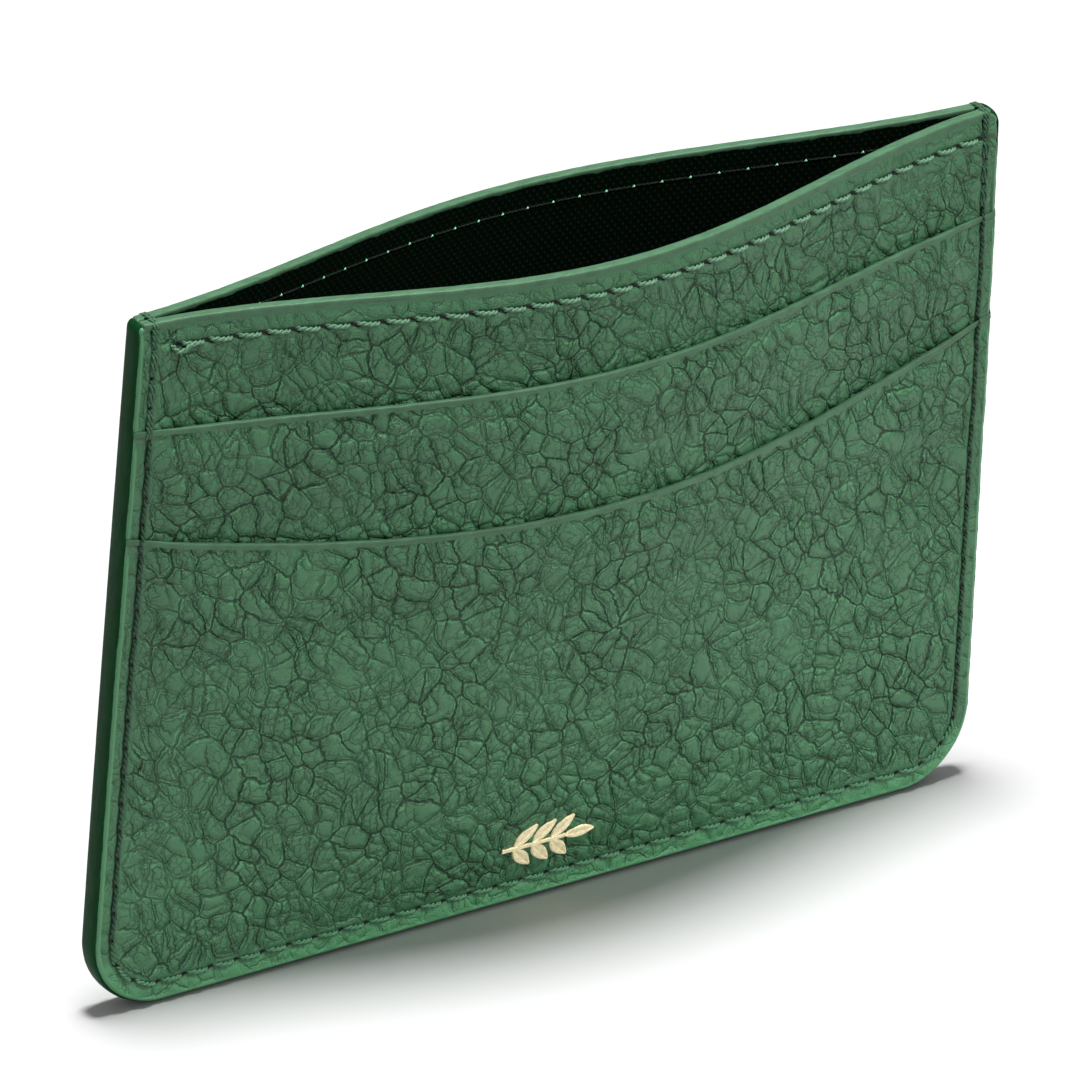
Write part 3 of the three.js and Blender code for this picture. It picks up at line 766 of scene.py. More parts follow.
def leather_material(name, settings, pitch):
    """Pigmented, tumbled leather with painted shade in its creases and a soft sheen."""
    material, kit, shader = new_material(name)
    flat = stored(kit, "flat").outputs["Vector"]
    worn = stored(kit, "relief").outputs["Fac"]
    seam = stored(kit, "seam").outputs["Vector"]
    height, crease, rim = grain(kit, flat, settings)
    holes = needle_holes(kit, seam, pitch)
    _, beside_seam, sewn = kit.parts(seam)
    # Painted shade in the seam groove, stronger up the sides than along the bottom.
    seam_groove_shade = kit.ramp(kit.math("ABSOLUTE", beside_seam), 0.12, 0.42, 1.0, 0.0)
    seam_groove_shade = kit.math("MULTIPLY", seam_groove_shade, kit.ramp(sewn, 1.0, 2.0, 0.25, 0.85))
    shown = kit.math("MULTIPLY", crease, kit.ramp(worn, 0.0, 0.7, 0.0, 1.0))
    cloud = kit.noise(flat, 0.05, 3.0)["Fac"]
    speck = kit.noise(flat, 6.0, 3.0, 0.7)["Fac"]
    light = colour4(settings.colour, 1.10)
    dark = colour4(settings.colour, 0.90)
    body = kit.mixed(kit.ramp(cloud, 0.3, 0.7), dark, light)
    pale = colour4(settings.colour, 1.7)
    pore = colour4(settings.colour, 0.45)
    body = kit.mixed(kit.ramp(speck, 0.42, 0.72, 0.0, 0.5), body, pale)
    body = kit.mixed(kit.ramp(speck, 0.30, 0.44, 0.5, 0.0), body, pore)
    patches = kit.ramp(kit.noise(flat, 0.45, 2.0)["Fac"], 0.42, 0.60)
    # Painted highlight: the crease rims are lightened in patches, partly as rubbed wear and partly as
    # light catching them.
    rim_highlight = kit.math("MULTIPLY", kit.math("MULTIPLY", rim, worn), kit.math("MULTIPLY", patches, 0.45))
    body = kit.mixed(rim_highlight, body, colour4(settings.colour, 2.6))
    # Painted light: the leather just outside the bottom seam is lightened as if lit from below; the
    # sides and mouth are not.
    border = kit.math("MULTIPLY", kit.ramp(beside_seam, -0.7, -0.3, 1.0, 0.0),
                      kit.ramp(sewn, 1.0, 1.4, 0.8, 0.0))
    body = kit.mixed(border, body, colour4(settings.colour, 2.0))
    # Painted shade: the creases are mixed towards the crease shade colour.
    body = kit.mixed(kit.math("MULTIPLY", shown, 0.88), body, colour4(settings.crease_shade_colour))
    body = kit.mixed(seam_groove_shade, body, colour4(settings.crease_shade_colour, 0.8))
    # Painted shade: the needle slits are coloured near black for the dark inside of each hole.
    body = kit.mixed(holes, body, (0.001, 0.004, 0.002, 1.0))
    kit.feed(shader.inputs["Base Color"], body)
    gloss = kit.ramp(kit.noise(flat, 2.2, 3.0)["Fac"], 0.3, 0.7, 0.36, 0.50)
    kit.feed(shader.inputs["Roughness"], kit.math("MULTIPLY_ADD", shown, 0.18, gloss))
    shader.inputs["Specular IOR Level"].default_value = 0.42
    fuzz = kit.math("MULTIPLY", speck, 0.06)
    steep = kit.math("MULTIPLY", height, 2.6)
    lift = kit.math("MULTIPLY_ADD", steep, kit.math("MAXIMUM", worn, 0.08), fuzz)
    lift = kit.math("SUBTRACT", lift, kit.math("MULTIPLY", holes, 0.35))
    kit.emboss(shader, lift)
    return material


def lining_material(name, settings):
    """Tight woven lining, with raised threads that show as short upright dots."""
    material, kit, shader = new_material(name)
    across, z, _ = kit.parts(stored(kit, "flat").outputs["Vector"])
    pitch = settings.dot_spacing / MM
    row = kit.math("DIVIDE", z, pitch * 0.6)
    shift = kit.math("MULTIPLY", kit.math("MODULO", kit.math("FLOOR", row), 2.0), 0.5)
    column = kit.math("ADD", kit.math("DIVIDE", across, pitch), shift)
    x = kit.math("SUBTRACT", kit.math("FRACT", column), 0.5)
    y = kit.math("SUBTRACT", kit.math("FRACT", row), 0.5)
    far = kit.ellipse(x, 0.20, y, 0.42)
    dot = kit.ramp(far, 0.3, 1.2, 1.0, 0.0)
    cloud = kit.noise(stored(kit, "flat").outputs["Vector"], 0.6, 3.0)["Fac"]
    dot = kit.math("MULTIPLY", dot, kit.ramp(cloud, 0.25, 0.7, 0.35, 1.0))
    ground = colour4(settings.colour)
    kit.feed(shader.inputs["Base Color"], kit.mixed(dot, ground, colour4(settings.dot_colour)))
    kit.feed(shader.inputs["Roughness"], kit.ramp(dot, 0.0, 1.0, 0.9, 0.6))
    shader.inputs["Specular IOR Level"].default_value = 0.06
    kit.emboss(shader, kit.math("MULTIPLY", dot, 0.12))
    return material


def paint_material(name, colour, rough, shine):
    """Edge paint: smooth and a little uneven, as it sets on a cut edge."""
    material, kit, shader = new_material(name)
    position = kit.position()
    streak = kit.noise(kit.vector("MULTIPLY", position, (0.5, 2.0, 0.5)), 0.9, 4.0, 0.6)["Fac"]
    speck = kit.noise(position, 5.0, 3.0, 0.65)["Fac"]
    body = kit.mixed(kit.ramp(streak, 0.3, 0.7), colour4(colour, 0.82), colour4(colour, 1.15))
    body = kit.mixed(kit.ramp(speck, 0.45, 0.8, 0.0, 0.35), body, colour4(colour, 1.5))
    kit.feed(shader.inputs["Base Color"], body)
    kit.feed(shader.inputs["Roughness"], kit.ramp(speck, 0.3, 0.7, rough - 0.06, rough + 0.08))
    shader.inputs["Specular IOR Level"].default_value = shine
    kit.emboss(shader, kit.math("MULTIPLY_ADD", streak, 0.05, kit.math("MULTIPLY", speck, 0.012)))
    return material


def thread_material(name, colour, knotted=False, shaded=False):
    """Bonded polyester thread with fine fibres along each ply. On the lining it is dark but for its
    knots, which carry a painted highlight; shaded thread takes painted shade by its side value."""
    material, kit, shader = new_material(name)
    position = kit.position()
    fibre = kit.noise(position, 9.0, 3.0, 0.6)["Fac"]
    body = kit.mixed(kit.ramp(fibre, 0.3, 0.7), colour4(colour, 0.6), colour4(colour, 1.4))
    if knotted:
        # Painted highlight: the knots are far brighter than the thread's own colour.
        knot = stored(kit, "knot").outputs["Fac"]
        body = kit.mixed(knot, (0.0005, 0.006, 0.002, 1.0), colour4(colour, 4.5))
    # Painted shade: the thread is darkened where the side value says the seam lies in shade.
    if shaded:
        side = kit.math("MULTIPLY", stored(kit, "side").outputs["Fac"], 0.8)
        body = kit.mixed(side, body, colour4(colour, 0.22))
    kit.feed(shader.inputs["Base Color"], body)
    kit.feed(shader.inputs["Roughness"], kit.ramp(fibre, 0.3, 0.7, 0.38, 0.6))
    plain = not (knotted or shaded)
    shader.inputs["Sheen Weight"].default_value = 0.2 if plain else 0.05
    shader.inputs["Specular IOR Level"].default_value = 0.5 if plain else 0.15
    kit.emboss(shader, kit.math("MULTIPLY", fibre, 0.05))
    return material


def foil_material(name, colour):
    """Hot-pressed foil that lets the leather's grain show faintly."""
    material, kit, shader = new_material(name)
    position = kit.position()
    grainy = kit.noise(position, 3.0, 4.0, 0.65)["Fac"]
    body = kit.mixed(kit.ramp(grainy, 0.3, 0.7), colour4(colour, 0.8), colour4(colour, 1.1))
    kit.feed(shader.inputs["Base Color"], body)
    kit.feed(shader.inputs["Roughness"], kit.ramp(grainy, 0.3, 0.7, 0.28, 0.48))
    shader.inputs["Metallic"].default_value = 0.2
    kit.emboss(shader, kit.math("MULTIPLY", grainy, 0.05))
    return material


# ---- Leather sheets ----


def stitched_gap(along, pitch):
    """Distance along a seam to the nearest needle hole."""
    turns = (along - STITCH_PHASE) / pitch
    return (turns - np.round(turns)) * pitch


def leather_sheet(name, wall, inner, outer, bottom, top, step, offset, mouth_seam, band, pitch,
                  skive):
    """A leather sheet with rounded edges, pressed seam lines and its flat layout stored."""
    piece, flat, start = sheet_piece(name, wall, inner, outer, bottom, top, step)
    across, z = flat[:, 0], flat[:, 1]
    from_top = top(across) - z
    from_edge = np.minimum(edge_distance(across, z), from_top)
    from_foot = np.where(bottom(across) > CORNER_HEIGHT, z - bottom(across), HEIGHT)
    from_edge = np.minimum(from_edge, from_foot)
    along, off = seam_position(across, z)
    sewn = 1.0 + at_sides(z) * (np.abs(off) < SEAM_REACH)
    if mouth_seam:
        mouth_off = mouth_edge(across) - MOUTH_SEAM_DROP - z
        nearer = (np.abs(mouth_off) < np.abs(off)) & (across > -MOUTH_SEAM_END - 0.4)
        along = np.where(nearer, across + MOUTH_SEAM_END + STITCH_PHASE, along)
        off = np.where(nearer, mouth_off, off)
        sewn = np.where(nearer, 1.5, sewn)
    hole = stitched_gap(along, pitch)
    groove = SEAM_GROOVE * np.exp(-((off / SEAM_GROOVE_WIDTH) ** 2))
    dip = HOLE_DIP * np.exp(-((hole / HOLE_SPAN) ** 2 + (off / (HOLE_SPAN * 0.7)) ** 2))
    reach = np.clip(EDGE_ROUND - from_edge, 0.0, EDGE_ROUND)
    rounding = EDGE_ROUND - np.sqrt(EDGE_ROUND**2 - reach**2)
    sink = groove + dip + rounding + skive * (1.0 - smooth(from_top, 0.0, 3.0))
    relief = smooth(from_edge, 0.15, 0.7) * (0.42 + 0.58 * smooth(off, 0.2, 1.6))
    if band > 0:
        sink = sink + 0.08 * np.exp(-(((from_top - band) / 0.14) ** 2))
        relief = relief * (0.15 + 0.85 * smooth(from_top, band, band + 0.35))
    else:
        relief = relief * (0.3 + 0.7 * smooth(from_top, 0.15, 0.5))
    relief = relief * (1.0 - 0.75 * np.exp(-((off / 0.55) ** 2)))
    sink[start:] = 0.0
    relief[start:] = 0.0
    move_depth(piece, -wall * sink)
    add_values(piece, "flat", np.stack([across + offset[0], z + offset[1], across * 0], axis=1))
    add_values(piece, "seam", np.stack([along, off, sewn], axis=1))
    add_values(piece, "relief", relief)
    return piece


def raise_grain(piece, wall, settings):
    """Moves the outer face by the same grain that the material shows, then keeps the mesh."""
    tree = bpy.data.node_groups.new("grain_" + piece.name, "GeometryNodeTree")
    tree.interface.new_socket("Geometry", in_out="INPUT", socket_type="NodeSocketGeometry")
    tree.interface.new_socket("Geometry", in_out="OUTPUT", socket_type="NodeSocketGeometry")
    kit = NodeKit(tree)
    source = kit.add("NodeGroupInput").outputs[0]
    flat = kit.add("GeometryNodeInputNamedAttribute", data_type="FLOAT_VECTOR")
    flat.inputs["Name"].default_value = "flat"
    worn = kit.add("GeometryNodeInputNamedAttribute", data_type="FLOAT")
    worn.inputs["Name"].default_value = "relief"
    height, _, _ = grain(kit, flat.outputs[0], settings, 2.2)
    shift = kit.math("MULTIPLY", height, kit.math("MULTIPLY", worn.outputs[0], wall * MM * 1.1))
    move = kit.add("ShaderNodeCombineXYZ")
    kit.feed(move.inputs[1], shift)
    setter = kit.add("GeometryNodeSetPosition")
    kit.feed(setter.inputs["Geometry"], source)
    kit.feed(setter.inputs["Offset"], move.outputs[0])
    kit.feed(kit.add("NodeGroupOutput").inputs[0], setter.outputs[0])
    modifier = piece.modifiers.new("grain", "NODES")
    modifier.node_group = tree
    bpy.context.view_layer.update()
    graph = bpy.context.evaluated_depsgraph_get()
    made = bpy.data.meshes.new_from_object(
        piece.evaluated_get(graph), preserve_all_data_layers=True, depsgraph=graph
    )
    piece.modifiers.clear()
    old = piece.data
    piece.data = made
    bpy.data.meshes.remove(old)
    bpy.data.node_groups.remove(tree)
    made.name = piece.name


def finish_piece(piece, material, node):
    """Gives a piece its material and its place in the model."""
    key_lit_pieces().objects.link(piece)
    piece.data.materials.clear()
    piece.data.materials.append(material)
    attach(piece, "root")
    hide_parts(node)


class CARDHOLDER_OT_leather(bpy.types.Operator):
    """Cut, emboss and place the four leather sheets"""

    bl_idname = "cardholder.leather"
    bl_label = "Leather Sheets"

    def execute(self, context):
        settings = context.scene.holder_leather
        pitch = context.scene.holder_seams.pitch / MM
        outer_leather = leather_material("tumbled_leather", settings, pitch)
        sheets = [
            ("rear_panel", REAR, level(WALL_INNER), level(WALL_OUTER), bottom_edge, mouth_edge,
             0.33, (160.0, 40.0), True, LIP_BAND, PANEL_SIZE, ["rear_lining_cloth"], LIP_SKIVE),
            ("mouth_strip", FRONT, mouth_strip_inner, level(WALL_OUTER),
             straight_edge(STRIP_FOOT), mouth_edge, 0.21, (0.0, 300.0), True, LIP_BAND,
             (SHEET_WIDTH, 16.4), ["front_lining_cloth"], LIP_SKIVE),
            ("middle_strip", FRONT, middle_strip_inner, middle_strip_outer,
             straight_edge(MIDDLE_FOOT), upper_lip, 0.22, (75.0, 200.0), False, 0.0,
             (SHEET_WIDTH, 20.0), ["mouth_strip_leather"], SLOT_SKIVE),
            ("lower_panel", FRONT, lower_panel_inner, lower_panel_outer, bottom_edge, lower_lip,
             0.25, (20.0, 100.0), False, 0.0, (SHEET_WIDTH, 50.0), ["middle_strip_leather"], SLOT_SKIVE),
        ]
        for (node, wall, inner, outer, bottom, top, step, offset, mouth, band, flat, rests,
             skive) in sheets:
            piece = leather_sheet(node + "_leather", wall, inner, outer, bottom, top, step,
                                  offset, mouth, band, pitch, skive)
            raise_grain(piece, wall, settings)
            finish_piece(piece, outer_leather, node)
        return {"FINISHED"}


# ---- Linings and slot backings ----


class CARDHOLDER_OT_linings(bpy.types.Operator):
    """Place the two pocket linings and the two slot backings"""

    bl_idname = "cardholder.linings"
    bl_label = "Linings and Backings"

    def execute(self, context):
        cloth = lining_material("woven_lining", context.scene.holder_lining)
        inner, outer = level(MEETING_GAP), level(MEETING_GAP + LINING)
        upper = level(WALL_INNER), level(WALL_INNER + LINING)
        lower = level(WALL_INNER + LAP), level(WALL_INNER + LAP + LINING)
        sheets = [
            ("rear_lining", REAR, outer, inner, bottom_edge, mouth_edge, PANEL_SIZE,
             "rear_panel_leather"),
            ("front_lining", FRONT, outer, inner, bottom_edge, mouth_edge, PANEL_SIZE,
             "mouth_strip_leather"),
            ("upper_slot_backing", FRONT, upper[0], upper[1], flat_edge(UPPER_BACKING_FOOT),
             straight_edge(UPPER_BACKING_TOP), (SHEET_WIDTH, 46.2), "front_lining_cloth"),
            ("lower_slot_backing", FRONT, lower[0], lower[1], flat_edge(LOWER_BACKING_FOOT),
             straight_edge(LOWER_BACKING_TOP), (SHEET_WIDTH, 39.0), "upper_slot_backing_cloth"),
        ]
        for node, wall, back, face, bottom, top, flat, rests in sheets:
            piece, layout, _ = sheet_piece(node + "_cloth", wall, back, face, bottom, top, 0.7, 2)
            slack = 0.012 * np.sin(layout[:, 0] * 1.9) * np.sin(layout[:, 1] * 1.3)
            move_depth(piece, slack)
            add_values(piece, "flat", np.column_stack([layout, layout[:, 0] * 0]))
            fix_turn(piece)
            finish_piece(piece, cloth, node)
        return {"FINISHED"}


# ---- Edge paint ----


def rounded_profile(count, power):
    """Shares across an edge and lifts off it, along a full, rounded bead."""
    turn = np.linspace(0.0, math.pi, count)
    share = 0.5 - 0.5 * np.sign(np.cos(turn)) * np.abs(np.cos(turn)) ** (2 / power)
    return share, np.sin(turn) ** (2 / power)


class CARDHOLDER_OT_edge_paint(bpy.types.Operator):
    """Paint the sides, the bottom, the mouth and the slot lips"""

    bl_idname = "cardholder.edge_paint"
    bl_label = "Edge Paint"

    def execute(self, context):
        settings = context.scene.holder_paint
        # The same edge paint twice: darker on the sides as painted shade, lighter on the lips as painted
        # light.
        shaded_side_paint = paint_material("edge_paint_sides", settings.colour, 0.5, 0.06)
        lit_lip_paint = paint_material("edge_paint_lips", settings.lit_lip_colour, 0.40, 0.2)
        self.sides(shaded_side_paint)
        inner_wall = level(MEETING_GAP)
        turned = 0.97 * (1.0 - math.cos(CORNER_TURN))
        corners = (HALF - LEFT_TOP_RADIUS * turned, HALF - RIGHT_TOP_RADIUS * turned)
        ends = (HALF - 0.03, HALF - 0.03)
        lips = [
            ("rear_mouth_edge_paint", mouth_edge, REAR, inner_wall, level(WALL_OUTER), LIP_SKIVE,
             EDGE_PAINT, 0.16, 0.22, corners),
            ("front_mouth_edge_paint", mouth_edge, FRONT, inner_wall, level(WALL_OUTER), LIP_SKIVE,
             EDGE_PAINT, 0.14, 0.20, corners),
            ("upper_slot_edge_paint", upper_lip, FRONT, middle_strip_inner, middle_strip_outer,
             SLOT_SKIVE, SLOT_EDGE_PAINT, 0.0, 0.11, ends),
            ("lower_slot_edge_paint", lower_lip, FRONT, lower_panel_inner, lower_panel_outer,
             SLOT_SKIVE, SLOT_EDGE_PAINT, 0.0, 0.11, ends),
        ]
        for node, edge, wall, inner, outer, skive, thick, over_back, over_face, reach in lips:
            piece = lip_bead(node + "_bead", edge, wall, inner, outer, skive, thick, over_back,
                             over_face, reach)
            finish_piece(piece, lit_lip_paint, node)
        return {"FINISHED"}

    def sides(self, material):
        quarter = CUT_RADIUS * math.pi / 2
        straight = CORNER_ACROSS + quarter + CUT_TOP - CORNER_HEIGHT
        left = straight - LEFT_TOP_RADIUS * (1.0 - CORNER_TURN)
        right = straight - RIGHT_TOP_RADIUS * (1.0 - CORNER_TURN)
        along = np.linspace(-left, right, 1100)
        radius = np.where(along < 0, LEFT_TOP_RADIUS, RIGHT_TOP_RADIUS)
        side = CUT_TOP - radius - CORNER_HEIGHT
        half = np.abs(along)
        turn = np.clip((half - CORNER_ACROSS) / CUT_RADIUS, 0.0, math.pi / 2)
        last = np.maximum(half - CORNER_ACROSS - quarter - side, 0.0) / radius
        across = np.minimum(half, CORNER_ACROSS) + CUT_RADIUS * np.sin(turn)
        across = np.sign(along) * (across - radius * (1.0 - np.cos(last)))
        z = CUT_BOTTOM + CUT_RADIUS * (1.0 - np.cos(turn)) + radius * np.sin(last)
        z = z + np.clip(half - CORNER_ACROSS - quarter, 0.0, side)
        out = -square_to(np.gradient(across), np.gradient(z))
        share, lift = rounded_profile(19, 2.3)
        waver = wander(along, 3.0, 0.03)
        ragged = wander(along * 1.6, 5.0, 0.05)

        def ring(x, height, direction, i):
            reach = 0.01 + lift * (EDGE_PAINT + PAINT_GAP - 0.02 + min(waver[i], 0.0))
            low = -(WALL_OUTER - EDGE_ROUND * 0.85)
            high = float(pressed(np.array(HALF), front_face(height))) - EDGE_ROUND * 0.85 + ragged[i]
            thinner = LIP_SKIVE * (1.0 - float(smooth(np.array(CUT_TOP - height), 0.0, 1.5)))
            high = high - thinner
            depth = low + (high - low) * share
            px, pz = x + direction[0] * reach, height + direction[1] * reach
            bow = GAPE * rise(pz) * cross_shape(px)
            y = np.where(depth < 0, bow - depth, -bow - depth)
            return np.stack([px * narrowing(pz), y, pz], axis=1)

        piece = bead_piece("perimeter_edge_paint_bead", across, z, out, ring)
        finish_piece(piece, material, "perimeter_edge_paint")


def lip_bead(name, edge, wall, inner, outer, skive, thick, over_back, over_face, reach):
    """Paint over a lip: down a little way on the face, over the top and down the back."""
    across = sheet_columns(0.3)
    within = (across > 0.03 - reach[0]) & (across < reach[1] - 0.03)
    across = np.concatenate([[-reach[0]], across[within], [reach[1]]])
    z = edge(across)
    out = square_to(np.gradient(across), np.gradient(z))
    waver = wander(across, 11.0 + len(name), 0.05)
    ragged = wander(across * 1.4, 2.0 + len(name), 0.14)
    proud = 0.03

    def ring(x, height, direction, i):
        near_side = max(EDGE_ROUND - (reach[int(x > 0)] + 0.01 - abs(x)), 0.0)
        tuck = EDGE_ROUND - math.sqrt(max(EDGE_ROUND**2 - near_side**2, 0.0))
        back, face = float(inner(height)), float(outer(height)) - skive - tuck
        top = (thick + PAINT_GAP - 0.01) * (1.0 - 0.5 * tuck / EDGE_ROUND)
        turn = np.linspace(0.0, math.pi, 15)
        middle, spread_half = (back + face) / 2, (face - back) / 2 + proud
        depth = middle + spread_half * np.sign(np.cos(turn)) * np.abs(np.cos(turn)) ** 0.62
        lift = top * np.sin(turn) ** 0.62 + min(waver[i], 0.0) * np.sin(turn)
        lower_back = max(over_back + ragged[i], 0.12) if over_back else 0.0
        skin = 0.012
        points = [(face + proud * 0.3, -over_face - waver[i] * 0.8)]
        points += [(face + proud, -over_face * 0.6)]
        points += list(zip(depth, lift))
        if over_back:
            points += [(back - proud * 0.8, -lower_back * 0.8), (back - skin, -lower_back)]
            points += [(back - skin, -lower_back * 0.5)]
        points += [(back, 0.012), (face - EDGE_ROUND + 0.03, 0.012)]
        points += [(face - 0.08, -EDGE_ROUND * 0.55), (face + skin, -EDGE_ROUND * 0.95)]
        flat = np.array(points)
        px = x + direction[0] * flat[:, 1]
        pz = height + direction[1] * flat[:, 1]
        return place(px, pz, flat[:, 0], wall)

    return bead_piece(name, across, z, out, ring)


# ---- Seams ----


def twisted_thread(paths, ply_width, twist_length):
    """Two plies wound round each other along each path of points."""
    points, faces = [], []
    sides = 7
    round_it = np.linspace(0.0, 2 * math.pi, sides, endpoint=False)
    radius = ply_width / 2
    total = 0
    for path in paths:
        path = np.asarray(path, dtype=float)
        along = np.concatenate([[0.0], np.cumsum(np.linalg.norm(np.diff(path, axis=0), axis=1))])
        count = max(int(along[-1] / THREAD_STEP), 8)
        at = np.linspace(0.0, along[-1], count)
        centre = np.stack([np.interp(at, along, path[:, k]) for k in range(3)], axis=1)
        run = np.gradient(centre, axis=0)
        run /= np.linalg.norm(run, axis=1)[:, None]
        guide = (0.0, 0.0, 1.0) if abs(run[0, 2]) < 0.8 else (1.0, 0.0, 0.0)
        side = np.cross(run, np.array(guide))
        side /= np.linalg.norm(side, axis=1)[:, None]
        up = np.cross(side, run)
        ends = np.minimum(at, along[-1] - at)
        slim = 0.45 + 0.55 * np.clip(ends / 0.25, 0.0, 1.0)
        for ply in (0.0, math.pi):
            turn = at / twist_length * 2 * math.pi + ply
            sway = side * np.cos(turn)[:, None] + up * np.sin(turn)[:, None]
            heart = centre + sway * radius * 0.82
            ring = (side[:, None, :] * np.cos(round_it)[None, :, None]
                    + up[:, None, :] * np.sin(round_it)[None, :, None])
            tube = heart[:, None, :] + ring * (radius * slim)[:, None, None]
            block = tube.reshape(-1, 3)
            points.append(block)
            faces += tube_faces(count, sides, total)
            total += len(block)
    return np.concatenate(points), faces


def stitch_path(flat_at, face, wall, start, end, crown, slant):
    """Points of one stitch from hole to hole, rising out of one and dipping into the next."""
    t = np.linspace(0.0, 1.0, 13)
    along = start + (end - start) * t
    across, z, square = flat_at(along)
    off = slant * (0.5 - t)
    across = across + square[:, 0] * off
    z = z + square[:, 1] * off
    height = -STITCH_SINK + (STITCH_SINK + crown) * np.sin(math.pi * t) ** 0.55
    return place(across, z, face(z) + height, wall)


def perimeter_place(along):
    across, z = seam_point(along)
    ahead = seam_point(along + 0.01)
    return across, z, square_to(ahead[0] - across, ahead[1] - z)


def mouth_place(along):
    z = mouth_edge(along) - MOUTH_SEAM_DROP
    slope = (mouth_edge(along + 0.01) - mouth_edge(along - 0.01)) / 0.02
    return along, z, square_to(np.ones_like(along), slope)


def holes_between(low, high, pitch):
    first = math.ceil((low - STITCH_PHASE) / pitch)
    last = math.floor((high - STITCH_PHASE) / pitch)
    return STITCH_PHASE + pitch * np.arange(first, last + 1)


def stitched_seam(name, places, face, wall, holes, settings, extra=()):
    """All the stitches of one seam on one side of it, as one piece."""
    paths = []
    for k in range(len(holes) - 1):
        lean = 0.22 + 0.05 * math.sin(k * 2.3)
        middle = np.array([(holes[k] + holes[k + 1]) / 2])
        flatter = float(at_sides(places(middle)[1])[0]) if places is perimeter_place else 0.0
        top = STITCH_CROWN * (1.0 - 0.9 * flatter) + 0.02 * math.sin(k * 1.7)
        start, end = holes[k] + STITCH_GAP, holes[k + 1] - STITCH_GAP
        paths.append(stitch_path(places, face, wall, start, end, top, lean))
    paths += list(extra)
    points, faces = twisted_thread(paths, settings.ply_width / MM, THREAD_TWIST)
    return build_object(name, points, faces, 80.0)


def sewn_face(z):
    """Face of the front wall as the thread crosses it, easing over the steps."""
    return (front_face(z - 0.5) + front_face(z) + front_face(z + 0.5)) / 3 - SEAM_GROOVE


def seam_holes(pitch):
    """Needle holes of the side-and-bottom seam, up to where the lock stitches take over."""
    foot = float(mouth_edge(np.array([SEAM_HALF]))[0]) - LOCK_STITCH_LENGTH
    reach = SEAM_CORNER + SEAM_RADIUS * math.pi / 2 + foot - CORNER_HEIGHT
    return holes_between(-reach, reach, pitch)


class CARDHOLDER_OT_perimeter_seam(bpy.types.Operator):
    """Sew the seam round the sides and the bottom"""

    bl_idname = "cardholder.perimeter_seam"
    bl_label = "Side and Bottom Seam"

    def execute(self, context):
        settings = context.scene.holder_seams
        pitch = settings.pitch / MM
        thread = thread_material("sewing_thread", settings.colour, shaded=True)
        holes = seam_holes(pitch)
        back_face = level(WALL_OUTER - SEAM_GROOVE)
        for node, face, wall in (("perimeter_needle_thread", sewn_face, FRONT),
                                 ("perimeter_bobbin_thread", back_face, REAR)):
            piece = stitched_seam(node + "_stitches", perimeter_place, face, wall, holes, settings)
            # Painted shade: the thread up the sides is darkened, for the shade that falls in its groove.
            add_values(piece, "side", at_sides(points_of(piece)[:, 2]))
            finish_piece(piece, thread, node)
        return {"FINISHED"}


class CARDHOLDER_OT_mouth_seams(bpy.types.Operator):
    """Sew the seams under both mouth edges, leather side and lining side"""

    bl_idname = "cardholder.mouth_seams"
    bl_label = "Mouth Seams"

    def execute(self, context):
        settings = context.scene.holder_seams
        pitch = settings.pitch / MM
        thread = thread_material("mouth_thread", settings.colour)
        inner_thread = thread_material("bobbin_thread", settings.colour, knotted=True)
        holes = np.arange(-MOUTH_SEAM_END, SEAM_HALF - 0.2, pitch)
        leather = level(WALL_OUTER - SEAM_GROOVE)
        for wall, side in ((FRONT, "front"), (REAR, "rear")):
            node = side + "_mouth_needle_thread"
            ends = [self.tail(wall, leather, holes[0])] if wall == FRONT else []
            piece = stitched_seam(node + "_stitches", mouth_place, leather, wall, holes, settings,
                                  ends)
            finish_piece(piece, thread, node)
            node = side + "_mouth_bobbin_thread"
            piece = self.inner_stitches(node, wall, holes, settings)
            finish_piece(piece, inner_thread, node)
        return {"FINISHED"}

    def tail(self, wall, face, start):
        """The loose end left where the front seam starts, curling down from the first hole."""
        t = np.linspace(0.0, 1.0, 30)
        across = start - 0.95 + 2.5 * t
        drop = 0.10 + 0.62 * np.sin(math.pi * np.clip(t * 1.25, 0.0, 1.0)) ** 1.3
        z = mouth_edge(across) - MOUTH_SEAM_DROP - drop + 0.25 * (1.0 - t)
        lift = 0.08 + 0.16 * np.sin(t * math.pi)
        return place(across, z, face(z) + SEAM_GROOVE + lift, wall)

    def inner_stitches(self, node, wall, holes, settings):
        """Dark bobbin stitches on the lining, with a loop of needle thread at each hole that carries a
        painted highlight.
        """
        paths, knots = [], []
        for k in range(len(holes)):
            if k + 1 < len(holes):
                t = np.linspace(0.0, 1.0, 11)
                across = holes[k] + 0.15 + (holes[k + 1] - holes[k] - 0.3) * t
                z = mouth_edge(across) - MOUTH_SEAM_DROP + 0.05 * (0.5 - t)
                paths.append(place(across, z, MEETING_GAP + 0.02 - 0.05 * np.sin(math.pi * t), wall))
            across = holes[k] + np.linspace(-0.11, 0.11, 7)
            z = mouth_edge(across) - MOUTH_SEAM_DROP + np.linspace(-0.07, 0.07, 7)
            knots.append(place(across, z, MEETING_GAP - 0.07 * np.cos(np.linspace(-1.5, 1.5, 7)), wall))
        dull, dull_faces = twisted_thread(paths, settings.ply_width / MM * 0.55, 1.0)
        bright, bright_faces = twisted_thread(knots, settings.ply_width / MM * 0.6, 0.8)
        faces = dull_faces + [[i + len(dull) for i in face] for face in bright_faces]
        piece = build_object(node + "_stitches", np.concatenate([dull, bright]), faces, 80.0)
        add_values(piece, "knot", np.concatenate([np.zeros(len(dull)), np.ones(len(bright))]))
        return piece


def corner_top(side):
    """Top of the painted mouth edge over the side seam."""
    return float(mouth_edge(np.array([side * SEAM_HALF]))[0]) + EDGE_PAINT


